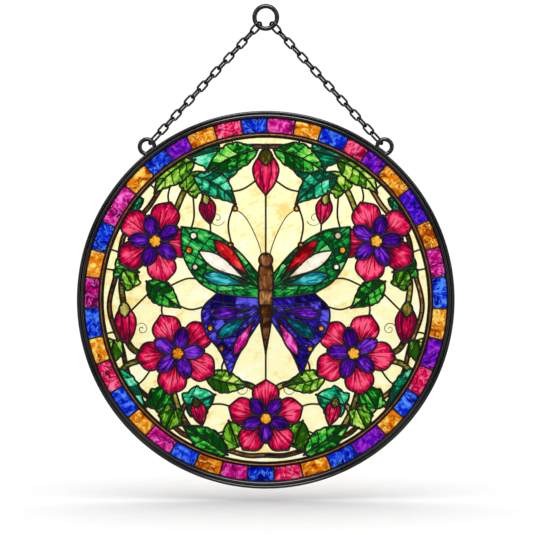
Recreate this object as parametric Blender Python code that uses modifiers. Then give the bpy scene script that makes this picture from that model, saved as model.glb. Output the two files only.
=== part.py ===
"""Stained glass suncatcher: a leaded glass roundel in a black hoop, hung on two chains.

Metres, +Z up. The face is towards -Y. The origin is where the hanging ring rests on its
hook, at the top of the ring's hole. The roundel's picture is drawn in shares of the
picture's radius, x to the right and y up, as a pile of outlines: each outline covers what
lies under it, and the edges that still show are the lead lines.
"""
import math

import bmesh
import bpy
from mathutils import Matrix, Vector
from mathutils.geometry import delaunay_2d_cdt

# Hanging ring and the height of the hoop
RING_OUTER_DIAMETER = 0.0182
RING_WIRE = 0.0030
RING_STEPS = 16
RING_WIRE_SIDES = 6
HOOP_DROP = 0.1963          # from the hanging point down to the centre of the hoop

# Hoop, a channel that holds the rim of the glass
HOOP_OUTER_RADIUS = 0.1270
HOOP_DEPTH = 0.0090
HOOP_OUTER_BEAD = 0.0021
HOOP_INNER_BEAD = 0.0024
HOOP_FLANGE_RIM = 0.0006
HOOP_GROOVE_DEPTH = 0.0011
HOOP_INNER_BEAD_DROP = 0.0004
HOOP_RIM_DROP = 0.0014
HOOP_BACK_EDGE = 0.0008
HOOP_CHANNEL_DEPTH = 0.0023
HOOP_STEPS = 40

# Loops welded on the hoop
EYE_ANGLE_DEG = 37.8        # from the top of the hoop, to either side
EYE_OUTER_DIAMETER = 0.0127
EYE_WIRE = 0.0028
EYE_STANDOFF = 0.0035       # from the hoop's outside to the middle of the loop
EYE_PAD_LENGTH = 0.0090
EYE_PAD_HEIGHT = 0.0011
EYE_PAD_SUNK = 0.0012
EYE_PAD_DEPTH_SHARE = 0.9
EYE_STEPS = 14

# Chains
LINKS_PER_SIDE = 16
LINK_WIRE = 0.0015
LINK_WIDTH = 0.0056
LINK_BITE = 0.00025         # how deep two fused links sink into each other
LINK_ARC_STEPS = 3
END_LINK_SLACK = 0.0034
EYE_LINK_SLACK = 0.0050
RING_LINK_ROLL_DEG = 55.0
SECOND_LINK_ROLL_DEG = 118.0
WIDE_LINK_ROLL_DEG = 17.0      # the inner links, seen nearly face on
NARROW_LINK_ROLL_DEG = 119.0   # and well turned away, by turns
EYE_LINK_ROLL_DEG = 60.0

# Glass and lead
GLASS_THICKNESS = 0.0030
LEAD_THICKNESS = 0.0042
LEAD_WIDTH = 0.0013
BORDER_TILE_LENGTH = 0.0094
BORDER_BAR_WIDTH = 0.0011
BORDER_RIM_WIDTH = 0.0013   # the rim that joins the tiles, out of sight in the hoop
PICTURE_FRAME_WIDTH = 0.0029
COPPER_BEAD_WIDTH = 0.0017
COPPER_BEAD_HEIGHT = 0.0009
COPPER_BEAD_SIDE_SHARE = 0.4
FIT_GAP = 0.0003
WELD_DISTANCE = 0.000001
RING_WELD_DISTANCE = 0.00001

# Widths of the border's tiles, clockwise from the top
BORDER_TILES_DEG = (
    9.0, 8.7, 9.1, 7.3, 7.4, 10.4, 11.6, 9.0, 9.7, 10.3, 10.0, 10.0, 9.2,
    8.5, 7.9, 10.9, 9.35, 9.35, 9.2, 8.7, 8.75, 8.55, 8.7, 9.4, 8.0, 9.6,
    10.1, 8.4, 9.8, 10.0, 8.9, 9.5, 13.3, 9.0, 8.25, 7.85, 9.15, 8.85, 8.3)
BORDER_START_DEG = 0.4

# The picture, in shares of its radius
DISC_STEPS = 36
LEAF_STEPS = 3
LEAF_FOOT_POWER = 0.85      # below 1 moves a leaf's widest place towards its foot
LEAF_FOOT_SWELL = 1.10
LEAF_TIP_THINNING = 0.35
LEAF_RIB_FOOT = 0.24        # where the lead along a leaf's rib stops short of its foot
PETALS = 5
PETAL_OUTLINE = ((-36, 0.34), (-22, 0.86), (0, 1.0), (22, 0.86))
HEART_RADIUS = 0.19
HEART_SIDES = 5
MIN_PANE_AREA = 0.000012
SQUARED_CORNER = math.radians(115)  # a sharper inward corner of a pane gets a short side
SHORTEST_SIDE = 0.0003
TURNS_BACK = -0.999         # cosine between two sides of a lead line's free end
NEARLY_PARALLEL = 0.02
SEVERAL_PANES = ("ground", "wing_upper_left", "wing_upper_right", "wing_lower_left",
                 "wing_lower_right")
STRAIGHT = math.sin(math.radians(4))

# name, foot x and y, direction, length, width, bend
LEAVES = (
    ("leaf_top", 0.05, 0.92, -26, 0.37, 0.17, 0.03),
    ("leaf_brow", 0.44, 0.76, -146, 0.31, 0.16, -0.03),
    ("leaf_shoulder", 0.44, 0.86, -40, 0.32, 0.17, 0.03),
    ("leaf_waist", 0.73, 0.11, -142, 0.26, 0.15, 0.0),
    ("leaf_hip", 0.91, -0.42, -122, 0.36, 0.17, 0.03),
    ("leaf_skirt", 0.37, -0.47, 192, 0.27, 0.14, 0.01),
    ("leaf_foot", 0.24, -0.95, 34, 0.33, 0.16, 0.0),
)
# name, middle x and y, radius, turn
BLOSSOMS = (
    ("blossom_upper", 0.68, 0.36, 0.26, 112),
    ("blossom_lower", 0.54, -0.33, 0.26, 66),
)
BLOSSOM_BOTTOM = (0.0, -0.73, 0.24, 90)
# x and y of the foot, direction, length, width
BUD_TOP = (0.0, 0.90, -90, 0.26, 0.16)
BUD_SIDE = (0.87, -0.04, -95, 0.24, 0.13)

# The butterfly's right half
WING_UPPER = ((0.03, 0.14), (0.18, 0.31), (0.35, 0.42), (0.52, 0.45), (0.51, 0.28),
              (0.42, 0.12), (0.30, 0.04), (0.03, 0.01))
WING_UPPER_VEIN = ((0.16, 0.32), (0.25, 0.18), (0.18, -0.05))
WING_LOWER = ((0.03, 0.01), (0.30, 0.04), (0.39, -0.06), (0.37, -0.20), (0.28, -0.32),
              (0.22, -0.47), (0.16, -0.33), (0.03, -0.12))
WING_LOWER_VEIN = ((0.12, -0.37), (0.23, -0.14), (0.18, 0.08))
BODY_HALF = ((0.0, 0.27), (0.04, 0.20), (0.045, 0.07), (0.035, -0.12), (0.0, -0.33))

# Lead lines that part the ground, right half. Their ends lie under other outlines.
GROUND_LINES = (
    ((0.02, 0.22), (0.09, 0.44), (0.20, 0.60)),
    ((0.0, 0.88), (0.0, 1.05)),
    ((0.0, 0.93), (0.10, 0.92)),
    ((0.435, 0.757), (0.565, 0.545)),
    ((0.64, 0.20), (0.70, 0.09)),
    ((0.76, 0.30), (0.88, 0.10), (0.87, -0.06)),
    ((0.845, -0.25), (0.74, -0.33)),
    ((0.89, -0.44), (0.77, -0.36)),
    ((0.16, -0.51), (0.02, -0.57)),
    ((0.47, -0.79), (0.58, -0.52)),
)


def turned(points, x, y, degrees, size=1.0):
    """The points grown by size, turned about the origin and moved to x, y."""
    c, s = math.cos(math.radians(degrees)) * size, math.sin(math.radians(degrees)) * size
    return [(x + px * c - py * s, y + px * s + py * c) for px, py in points]


def mirrored(points):
    """The points on the other side of the upright middle line."""
    return [(-x, y) for x, y in reversed(points)]


def signed_area(loop):
    return sum(ax * by - bx * ay for (ax, ay), (bx, by) in zip(loop, loop[1:] + loop[:1])) / 2


def leaf(x, y, degrees, length, width, bend):
    """A pointed leaf and the line of its rib, from a foot at x, y."""
    spots = [i / LEAF_STEPS for i in range(LEAF_STEPS + 1)]

    def side(t, sign):
        half = width / 2 * math.sin(math.pi * t ** LEAF_FOOT_POWER)
        half *= LEAF_FOOT_SWELL - LEAF_TIP_THINNING * t
        return t * length, bend * 4 * t * (1 - t) + sign * half

    outline = [side(t, -1) for t in spots] + [side(t, 1) for t in spots[-2:0:-1]]
    foot = LEAF_RIB_FOOT
    rib = [(length, 0.0), (foot * length, bend * 4 * foot * (1 - foot))]
    return turned(outline, x, y, degrees), [turned(rib, x, y, degrees)]


def on_circle(radius, degrees):
    return radius * math.cos(math.radians(degrees)), radius * math.sin(math.radians(degrees))


def blossom(x, y, size, degrees):
    """Five petals joined round a heart: the petals' outline, one line, the heart's outline.

    The line runs from a notch between two petals to the heart, and ties the heart's lead
    ring to the rest.
    """
    step = 360 / PETALS
    notch_angle, notch_radius = PETAL_OUTLINE[0]
    outline = [on_circle(r, step * k + a) for k in range(PETALS) for a, r in PETAL_OUTLINE]
    line = [on_circle(notch_radius, notch_angle), (0.0, 0.0)]
    heart = [on_circle(HEART_RADIUS, 360 * k / HEART_SIDES + notch_angle)
             for k in range(HEART_SIDES)]
    place = (x, y, degrees, size)
    return turned(outline, *place), [turned(line, *place)], turned(heart, *place)


def bud(x, y, degrees, length, width):
    """A closed bud that hangs from x, y."""
    shares = ((0, -0.14), (0.35, -0.5), (0.74, -0.38), (1, 0), (0.74, 0.38), (0.35, 0.5),
              (0, 0.14))
    return turned([(u * length, v * width) for u, v in shares], x, y, degrees)


def picture():
    """The pile of outlines, lowest first: name, outline, lead lines that belong to it."""
    rim = 1 + LEAD_WIDTH / 2 / picture_radius()
    disc = [on_circle(rim, 360 * k / DISC_STEPS) for k in range(DISC_STEPS)]
    lines = [list(line) for line in GROUND_LINES]
    pile = [("ground", disc, lines + [mirrored(line) for line in lines])]

    def both(name, outline, lines=()):
        pile.append((name + "_right", outline, list(lines)))
        pile.append((name + "_left", mirrored(outline), [mirrored(line) for line in lines]))

    for name, *place in LEAVES:
        both(name, *leaf(*place))
    both("bud_side", bud(*BUD_SIDE))
    pile.append(("bud_top", bud(*BUD_TOP), []))
    for name, *place in BLOSSOMS:
        outline, slits, heart = blossom(*place)
        both(name, outline, slits)
        both(name + "_heart", heart)
    outline, slits, heart = blossom(*BLOSSOM_BOTTOM)
    pile.append(("blossom_bottom", outline, slits))
    pile.append(("blossom_bottom_heart", heart, []))
    both("wing_lower", list(WING_LOWER), [list(WING_LOWER_VEIN)])
    both("wing_upper", list(WING_UPPER), [list(WING_UPPER_VEIN)])
    pile.append(("butterfly_body", list(BODY_HALF) + mirrored(BODY_HALF)[1:-1], []))
    return pile


def hoop_inner_radius():
    return HOOP_OUTER_RADIUS - HOOP_OUTER_BEAD - HOOP_INNER_BEAD - HOOP_FLANGE_RIM


def channel_radius():
    return hoop_inner_radius() + HOOP_CHANNEL_DEPTH


def picture_radius():
    return hoop_inner_radius() - BORDER_TILE_LENGTH - PICTURE_FRAME_WIDTH


def panes(pile):
    """Cut the pile into panes: pairs of a shape's name and one closed outline, in metres.

    The plane is triangulated along every outline and lead line. A triangle belongs to the
    topmost shape that holds it, and triangles of one shape that no lead line parts are one
    pane. The pane's outline is walked with its inside on the left, down one side of a line
    that ends inside it and back up the other.
    """
    points, faces, lines, owners = [], [], [], []
    for index, (name, outline, own_lines) in enumerate(pile):
        loop = outline if signed_area(outline) > 0 else outline[::-1]
        faces.append(list(range(len(points), len(points) + len(loop))))
        points += loop
        for line in own_lines:
            first = len(points)
            points += line
            lines += [(first + i, first + i + 1) for i in range(len(line) - 1)]
            owners += [index] * (len(line) - 1)
    spots, edges, triangles, _, edge_from, face_from = delaunay_2d_cdt(
        [Vector(point) for point in points], lines, faces, 0, 1e-4)
    top = [max(held_by) if 0 in held_by else -1 for held_by in face_from]
    walls = {}
    for (a, b), sources in zip(edges, edge_from):
        walls[frozenset((a, b))] = {owners[s] for s in sources if s < len(lines)}
    left_of = {(tri[k], tri[(k + 1) % 3]): t for t, tri in enumerate(triangles) for k in range(3)}

    border = set()
    for (a, b), t in left_of.items():
        other = left_of.get((b, a))
        if other is None or top[other] != top[t] or top[t] in walls.get(frozenset((a, b)), ()):
            border.add((a, b))

    found = []
    walked = set()
    for start in sorted(border):
        if start in walked or top[left_of[start]] < 0:
            continue
        loop, edge = [], start
        while edge not in walked:
            walked.add(edge)
            loop.append(tuple(spots[edge[0]]))
            edge = next_border_edge(edge, triangles, left_of, border)
        if signed_area(loop) > 0:
            found.append((pile[top[left_of[start]]][0], without_straight_corners(loop)))
    return found


def without_straight_corners(loop):
    """The outline less the corners that lie on the line from one neighbour to the other."""
    kept = []
    for i, corner in enumerate(loop):
        before = Vector(corner) - Vector(kept[-1] if kept else loop[-1])
        after = Vector(loop[(i + 1) % len(loop)]) - Vector(corner)
        if before.dot(after) < 0 or abs(before.normalized().cross(after.normalized())) > STRAIGHT:
            kept.append(corner)
    return kept


def next_border_edge(edge, triangles, left_of, border):
    """Swing round the edge's end, inside the pane, to the next edge that bounds it."""
    while True:
        triangle = triangles[left_of[edge]]
        k = triangle.index(edge[1])
        onward = (edge[1], triangle[(k + 1) % 3])
        if onward in border:
            return onward
        edge = (onward[1], onward[0])


def inset(loop, distance):
    """The outline moved inwards, or None where nothing is left of it.

    Each side is shifted and met with its neighbours. At a sharp inward point, such as a
    lead line's free end, a short side squares the corner. A side that turns round as it
    shrinks is dropped, and the rest meet again.
    """
    sides = []
    count = len(loop)
    for i in range(count):
        a, b, c = (Vector(loop[(i + k) % count]) for k in (-1, 0, 1))
        before, after = (b - a).normalized(), (c - b).normalized()
        turn = math.atan2(before.cross(after), before.dot(after))
        if turn < -SQUARED_CORNER or before.dot(after) < TURNS_BACK:
            across = before + after
            if across.length < NEARLY_PARALLEL:
                across = Vector((before.y, -before.x))
            sides.append((b, across.normalized()))
        sides.append((b, after))
    return meet(sides, distance)


def meet(sides, distance):
    """The outline where lines shifted to their left by distance cross, one by one."""
    while len(sides) > 2:
        corners = [crossing(sides[i - 1], sides[i], distance) for i in range(len(sides))]
        runs = [(corners[(i + 1) % len(sides)] - corners[i]).dot(sides[i][1])
                for i in range(len(sides))]
        shortest = min(range(len(sides)), key=runs.__getitem__)
        if runs[shortest] > SHORTEST_SIDE:
            return [tuple(corner) for corner in corners]
        del sides[shortest]
    return None


def crossing(first, second, distance):
    """Where two sides, each shifted to its left, meet; their common end if they run on."""
    (p, u), (q, v) = first, second
    p = p + Vector((-u.y, u.x)) * distance
    q = q + Vector((-v.y, v.x)) * distance
    turn = u.cross(v)
    if abs(turn) < NEARLY_PARALLEL:
        return q
    return p + u * ((q - p).cross(v) / turn)


def clear_scene():
    for item in list(bpy.data.objects):
        bpy.data.objects.remove(item)


def collection(name):
    group = bpy.data.collections.get(name) or bpy.data.collections.new(name)
    if group.name not in bpy.context.scene.collection.children:
        bpy.context.scene.collection.children.link(group)
    return group


def material(name, colour, metallic, roughness, alpha=1.0):
    """A Principled material, made once for each name."""
    finish = bpy.data.materials.get(name)
    if finish is None:
        finish = bpy.data.materials.new(name)
        finish.use_nodes = True
        shader = finish.node_tree.nodes["Principled BSDF"]
        shader.inputs["Base Color"].default_value = (*colour, 1.0)
        shader.inputs["Metallic"].default_value = metallic
        shader.inputs["Roughness"].default_value = roughness
        shader.inputs["Alpha"].default_value = alpha
    return finish


def keep(obj, finish, group="Suncatcher"):
    """Give the object its material and its collection."""
    for owner in list(obj.users_collection):
        owner.objects.unlink(obj)
    collection(group).objects.link(obj)
    obj.data.materials.clear()
    obj.data.materials.append(finish)
    return obj


def as_mesh(obj):
    """The evaluated object as a plain mesh object in the same place, its caps welded."""
    bpy.context.view_layer.update()
    graph = bpy.context.evaluated_depsgraph_get()
    mesh = bpy.data.meshes.new_from_object(obj.evaluated_get(graph), depsgraph=graph)
    welded = bmesh.new()
    welded.from_mesh(mesh)
    bmesh.ops.remove_doubles(welded, verts=welded.verts, dist=WELD_DISTANCE)
    welded.to_mesh(mesh)
    welded.free()
    solid = bpy.data.objects.new(obj.name, mesh)
    solid.matrix_world = obj.matrix_world
    bpy.context.scene.collection.objects.link(solid)
    name = obj.name
    bpy.data.objects.remove(obj)
    solid.name = name
    return solid


def black_metal():
    return material("black_metal", (0.035, 0.036, 0.038), 0.8, 0.42)


def blackened_lead():
    return material("blackened_lead", (0.03, 0.03, 0.03), 0.6, 0.5)


GLASS_COLOURS = (
    ("ground", (0.98, 0.90, 0.62)),
    ("leaf", (0.03, 0.36, 0.10)),
    ("heart", (0.95, 0.50, 0.04)),
    ("blossom", (0.70, 0.02, 0.20)),
    ("bud", (0.80, 0.03, 0.22)),
    ("wing_upper", (0.02, 0.38, 0.24)),
    ("wing_lower", (0.16, 0.06, 0.55)),
    ("butterfly_body", (0.30, 0.13, 0.05)),
    ("border", (0.95, 0.45, 0.03)),
)


def glass(name):
    """The glass for a piece, by the word in its name."""
    word, colour = next(pair for pair in GLASS_COLOURS if pair[0] in name)
    return material(word + "_glass", colour, 0.0, 0.15, 0.6)


def plate(name, outlines, thickness, finish):
    """A flat plate in the upright plane: the first outline, less the ones inside it."""
    curve = bpy.data.curves.new(name, "CURVE")
    curve.dimensions = "2D"
    curve.fill_mode = "BOTH"
    curve.extrude = thickness / 2
    for outline in outlines:
        spline = curve.splines.new("POLY")
        spline.points.add(len(outline) - 1)
        for point, (x, y) in zip(spline.points, outline):
            point.co = (x, y, 0.0, 1.0)
        spline.use_cyclic_u = True
    obj = bpy.data.objects.new(name, curve)
    obj.rotation_euler = (math.radians(90), 0, 0)
    obj.location = (0, 0, -HOOP_DROP)
    return keep(obj, finish)


def ring_of(radius, steps):
    return [on_circle(radius, 360 * k / steps) for k in range(steps)]


def comb(inner_radius, outer_radius, half_bar):
    """A circle that steps out to a finger along each of the border's bars.

    It is both the lead's outer edge and, a gap wider, the slots of the border's glass.
    """
    outline = []
    angle = 90 - BORDER_START_DEG
    for width in BORDER_TILES_DEG:
        along = Vector(on_circle(1, angle))
        across = Vector((along.y, -along.x)) * half_bar
        for side, radius in ((-1, inner_radius), (-1, outer_radius), (1, outer_radius),
                             (1, inner_radius)):
            reach = math.sqrt(radius ** 2 - half_bar ** 2)
            outline.append(tuple(along * reach + across * side))
        angle -= width
    return outline


def prisms(name, outlines, thickness):
    """Upright flat prisms, one for each outline, in one object."""
    build = bmesh.new()
    for outline in outlines:
        corners = [build.verts.new((x, -thickness / 2, y)) for x, y in outline]
        face = build.faces.new(corners)
        grown = bmesh.ops.extrude_face_region(build, geom=[face])["geom"]
        moved = [item for item in grown if isinstance(item, bmesh.types.BMVert)]
        bmesh.ops.translate(build, verts=moved, vec=(0, thickness, 0))
    bmesh.ops.recalc_face_normals(build, faces=build.faces)
    mesh = bpy.data.meshes.new(name)
    build.to_mesh(mesh)
    build.free()
    obj = bpy.data.objects.new(name, mesh)
    obj.location = (0, 0, -HOOP_DROP)
    bpy.context.scene.collection.objects.link(obj)
    return obj


def lead_and_glass():
    """The lead lines as one network, the picture's panes and the border's glass."""
    picture_edge = picture_radius()
    tile_inner = picture_edge + PICTURE_FRAME_WIDTH
    rim_outer = channel_radius() - FIT_GAP
    slot_outer = rim_outer - BORDER_RIM_WIDTH
    half_bar = BORDER_BAR_WIDTH / 2

    windows = []
    counts = {}
    for name, shares in panes(picture()):
        loop = [(x * picture_edge, y * picture_edge) for x, y in shares]
        window = inset(loop, LEAD_WIDTH / 2)
        pane = inset(loop, LEAD_WIDTH / 2 + FIT_GAP)
        if not window or not pane or signed_area(pane) < MIN_PANE_AREA:
            continue
        windows.append(window)
        counts[name] = counts.get(name, 0) + 1
        label = name + ("_%d" % counts[name] if name in SEVERAL_PANES else "")
        plate(label, [pane], GLASS_THICKNESS, glass(name))

    fingers = comb(tile_inner, slot_outer - FIT_GAP, half_bar)
    lead = keep(prisms("lead_lines", [fingers], LEAD_THICKNESS), blackened_lead())
    cutter = prisms("window_cutter", windows, 2 * LEAD_THICKNESS)
    guide(cutter)
    boolean(lead, "DIFFERENCE", cutter)
    slots = comb(tile_inner + FIT_GAP, slot_outer, half_bar + FIT_GAP)
    rim = ring_of(rim_outer, HOOP_STEPS)
    plate("border_glass", [rim, slots], GLASS_THICKNESS, glass("border"))


def turned_ring(name, profile, finish):
    """A closed profile of (radius, height above the middle plane) turned about the hoop's axis."""
    mesh = bpy.data.meshes.new(name)
    corners = [(radius, 0.0, height) for radius, height in profile]
    count = len(corners)
    mesh.from_pydata(corners, [(i, (i + 1) % count) for i in range(count)], [])
    obj = bpy.data.objects.new(name, mesh)
    obj.rotation_euler = (math.radians(90), 0, 0)
    obj.location = (0, 0, -HOOP_DROP)
    screw = obj.modifiers.new("Turn", "SCREW")
    screw.axis = "Z"
    screw.steps = screw.render_steps = HOOP_STEPS
    screw.use_merge_vertices = True
    screw.merge_threshold = RING_WELD_DISTANCE
    return keep(obj, finish)


def hoop():
    """The hoop: two beads with a groove on the front, a plain back, a channel inside."""
    front = HOOP_DEPTH / 2
    outer = HOOP_OUTER_RADIUS
    inner = hoop_inner_radius()
    channel = LEAD_THICKNESS / 2 + FIT_GAP
    groove = outer - HOOP_OUTER_BEAD
    bead = groove - HOOP_INNER_BEAD / 2
    rim = front - HOOP_RIM_DROP
    profile = [
        (outer, front - HOOP_RIM_DROP),
        (outer, -front + HOOP_BACK_EDGE),
        (outer - HOOP_BACK_EDGE, -front),
        (inner, -rim),
        (inner, -channel),
        (channel_radius(), -channel),
        (channel_radius(), channel),
        (inner, channel),
        (inner, rim),
        (groove - HOOP_INNER_BEAD, rim),
        (bead, front - HOOP_INNER_BEAD_DROP),
        (groove, front - HOOP_GROOVE_DEPTH),
        (outer - HOOP_OUTER_BEAD / 2, front),
    ]
    turned_ring("hoop", profile, black_metal())


def copper_ring():
    """The half-round bead that lies on the lead between border and picture."""
    middle = picture_radius() + PICTURE_FRAME_WIDTH / 2
    back = LEAD_THICKNESS / 2 + FIT_GAP
    half = COPPER_BEAD_WIDTH / 2
    profile = [
        (middle + half, back + COPPER_BEAD_HEIGHT * COPPER_BEAD_SIDE_SHARE),
        (middle + half, back),
        (middle - half, back),
        (middle - half, back + COPPER_BEAD_HEIGHT * COPPER_BEAD_SIDE_SHARE),
        (middle, back + COPPER_BEAD_HEIGHT),
    ]
    turned_ring("copper_bead_ring", profile, material("copper", (0.62, 0.30, 0.13), 1.0, 0.35))


def wire_ring(name, outer_diameter, wire, steps, place):
    """A ring of round wire in the upright plane."""
    bpy.ops.mesh.primitive_torus_add(
        major_segments=steps, minor_segments=RING_WIRE_SIDES,
        major_radius=(outer_diameter - wire) / 2, minor_radius=wire / 2,
        location=place, rotation=(math.radians(90), 0, 0))
    obj = bpy.context.object
    obj.name = name
    return keep(obj, black_metal())


def hanging_ring():
    """The ring whose inside, at the top, is the origin."""
    wire_ring("hanging_ring", RING_OUTER_DIAMETER, RING_WIRE, RING_STEPS, ring_centre())


def ring_centre():
    return Vector((0, 0, RING_WIRE - RING_OUTER_DIAMETER / 2))


def hoop_centre():
    return Vector((0, 0, -HOOP_DROP))


def eye_centre(side):
    angle = math.radians(90 - side * EYE_ANGLE_DEG)
    reach = HOOP_OUTER_RADIUS + EYE_STANDOFF
    return hoop_centre() + Vector((math.cos(angle), 0, math.sin(angle))) * reach


def boolean(obj, operation, other):
    """Join the other object to this one, or cut it out, by a modifier."""
    step = obj.modifiers.new(operation.title(), "BOOLEAN")
    step.operation = operation
    step.solver = "EXACT"
    step.object = other


def eye(name, side):
    """A loop that stands on the hoop on a small pad, both cut to the hoop's curve."""
    centre = eye_centre(side)
    loop = wire_ring(name, EYE_OUTER_DIAMETER, EYE_WIRE, EYE_STEPS, centre)
    outward = (centre - hoop_centre()).normalized()
    lean = math.radians(side * EYE_ANGLE_DEG)
    sunk = EYE_PAD_SUNK
    bpy.ops.mesh.primitive_cube_add(
        size=1, location=centre - outward * (EYE_STANDOFF - (EYE_PAD_HEIGHT - sunk) / 2),
        rotation=(0, lean, 0))
    pad = bpy.context.object
    pad.name = name + "_pad"
    pad.scale = (EYE_PAD_LENGTH, EYE_WIRE * EYE_PAD_DEPTH_SHARE, EYE_PAD_HEIGHT + sunk)
    guide(pad)

    bpy.ops.mesh.primitive_cylinder_add(
        vertices=HOOP_STEPS, radius=HOOP_OUTER_RADIUS + FIT_GAP, depth=4 * HOOP_DEPTH,
        location=hoop_centre(), rotation=(math.radians(90), 0, 0))
    cutter = bpy.context.object
    cutter.name = name + "_cutter"
    guide(cutter)
    boolean(loop, "UNION", pad)
    boolean(loop, "DIFFERENCE", cutter)


def guide(obj):
    """Put an object with the cutters and keep it out of the model."""
    for owner in list(obj.users_collection):
        owner.objects.unlink(obj)
    collection("Cutters").objects.link(obj)
    obj.hide_render = True
    obj.display_type = "WIRE"


def link_outline(length, width):
    """The middle line of a link: two straight sides and two round ends, along X.

    An odd number of steps ends each round end in a flat, which bulges a little less.
    """
    half_width = (width - LINK_WIRE) / 2
    odd = LINK_ARC_STEPS % 2
    bulge = half_width * math.cos(odd * math.pi / 2 / LINK_ARC_STEPS)
    straight = (length - LINK_WIRE) / 2 - bulge
    points = []
    for end in (1, -1):
        for k in range(LINK_ARC_STEPS + 1):
            angle = math.radians(-90 + 180 * k / LINK_ARC_STEPS)
            points.append((end * (straight + half_width * math.cos(angle)),
                           end * half_width * math.sin(angle)))
    return points


def link(name, centre, along, roll_deg, length, width):
    """A wire link centred at centre, along a direction in the upright plane.

    A roll of 0 shows it face on; 90 shows it edge on.
    """
    curve = bpy.data.curves.new(name, "CURVE")
    curve.dimensions = "3D"
    curve.bevel_depth = LINK_WIRE / 2
    curve.bevel_resolution = 0
    curve.use_fill_caps = True
    outline = link_outline(length, width)
    spline = curve.splines.new("POLY")
    spline.points.add(len(outline) - 1)
    for point, (x, y) in zip(spline.points, outline):
        point.co = (x, y, 0.0, 1.0)
    spline.use_cyclic_u = True
    obj = bpy.data.objects.new(name, curve)
    bpy.context.scene.collection.objects.link(obj)
    face = Vector((0, -1, 0))
    frame = Matrix((along, face.cross(along), face)).transposed().to_4x4()
    obj.matrix_world = (Matrix.Translation(centre) @ frame
                        @ Matrix.Rotation(math.radians(roll_deg), 4, "X"))
    return as_mesh(obj)


def end_link_size(threaded_wire, roll_deg, slack):
    """Length and width of a link that goes round a thicker wire at this roll."""
    reach = threaded_wire / 2 + LINK_WIRE / 2 + FIT_GAP
    width = 2 * reach / math.sin(math.radians(roll_deg)) + LINK_WIRE
    return threaded_wire + 3 * LINK_WIRE + slack, width


def chain(name, side):
    """A taut run of links from the ring to a loop, fused where each bears on the next.

    The two end links fit the wires they go round. The rest share what is left of the
    run, and lie nearly face on and well turned away by turns.
    """
    start, end = ring_centre(), eye_centre(side)
    along = (end - start).normalized()
    first_tip = (RING_OUTER_DIAMETER / 2 - RING_WIRE) - LINK_WIRE - FIT_GAP
    last_tip = (EYE_OUTER_DIAMETER / 2 - EYE_WIRE) - LINK_WIRE - FIT_GAP
    run = (end - start).length - first_tip - last_tip
    joint = 2 * LINK_WIRE - LINK_BITE
    first_length, first_width = end_link_size(RING_WIRE, RING_LINK_ROLL_DEG,
                                              END_LINK_SLACK)
    last_length, last_width = end_link_size(EYE_WIRE, EYE_LINK_ROLL_DEG, EYE_LINK_SLACK)
    inner = LINKS_PER_SIDE - 2
    length = (run - first_length - last_length + (LINKS_PER_SIDE - 1) * joint) / inner

    sizes = ([(first_length, first_width)] + [(length, LINK_WIDTH)] * inner
             + [(last_length, last_width)])
    rolls = [RING_LINK_ROLL_DEG, SECOND_LINK_ROLL_DEG]
    rolls += [180 * (k // 2 + 1) + (NARROW_LINK_ROLL_DEG if k % 2 else WIDE_LINK_ROLL_DEG)
              for k in range(inner - 1)]
    rolls += [180 - EYE_LINK_ROLL_DEG]
    tip = first_tip
    links = []
    for number, ((size, width), roll) in enumerate(zip(sizes, rolls)):
        centre = start + along * (tip + size / 2)
        links.append(link("%s_link_%02d" % (name, number + 1), centre, along, side * roll,
                          size, width))
        tip += size - joint
    body = links[0]
    for other in links[1:]:
        boolean(body, "UNION", other)
        guide(other)
    body.name = name
    keep(body, black_metal())


def main():
    clear_scene()
    hanging_ring()
    for side, word in ((-1, "left"), (1, "right")):
        chain("chain_" + word, side)
        eye("eye_" + word, side)
    hoop()
    copper_ring()
    lead_and_glass()


if __name__ == "__main__":
    main()
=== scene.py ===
"""Stained glass suncatcher: the looks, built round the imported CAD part.

Metres, +Z up, the face towards -Y. The picture is drawn in shares of its radius, x to the
right and y up, as a pile of outlines; each outline covers what lies under it, and a lead
line runs along every edge that still shows.
"""

import functools
import math
from collections import namedtuple

import bpy
import numpy as np
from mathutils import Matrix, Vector
from mathutils.geometry import delaunay_2d_cdt


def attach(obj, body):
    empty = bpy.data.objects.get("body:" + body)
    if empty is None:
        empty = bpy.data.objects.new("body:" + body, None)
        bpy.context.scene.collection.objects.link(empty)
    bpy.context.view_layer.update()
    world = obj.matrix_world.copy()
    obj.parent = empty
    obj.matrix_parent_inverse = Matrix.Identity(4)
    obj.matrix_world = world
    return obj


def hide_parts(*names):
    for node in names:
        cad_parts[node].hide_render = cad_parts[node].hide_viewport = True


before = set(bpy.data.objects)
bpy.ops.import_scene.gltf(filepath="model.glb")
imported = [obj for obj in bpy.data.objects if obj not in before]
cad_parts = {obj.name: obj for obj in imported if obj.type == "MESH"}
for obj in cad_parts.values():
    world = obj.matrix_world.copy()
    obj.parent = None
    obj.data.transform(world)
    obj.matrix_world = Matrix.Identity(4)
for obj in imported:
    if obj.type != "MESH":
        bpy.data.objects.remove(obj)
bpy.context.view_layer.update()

bl_info = {
    "name": "Stained glass suncatcher",
    "version": (1, 0, 0),
    "blender": (4, 5, 0),
    "location": "3D View > Sidebar > Suncatcher",
    "description": "Builds a leaded glass roundel in a black hoop, hung on two chains",
    "category": "Add Mesh",
}

# Lengths in metres
HOOP_DROP = 0.1963              # from the hanging point down to the hoop's centre
PLATE_STEP = 0.0015             # grid spacing on a pane
PATH_STEP = 0.0008              # spacing along a lead line
NEAREST_REACH = 0.008           # how far a lead line is looked for
NEAREST_BLOCK = 0.02            # side of a block in that search
TINY = 1e-12                    # keeps a division by a length from failing
FIT_GAP = 0.0003                # between two pieces that don't touch

# Steps round a turned piece
TURN_STEPS = 240
COPPER_STEPS = 480

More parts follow.
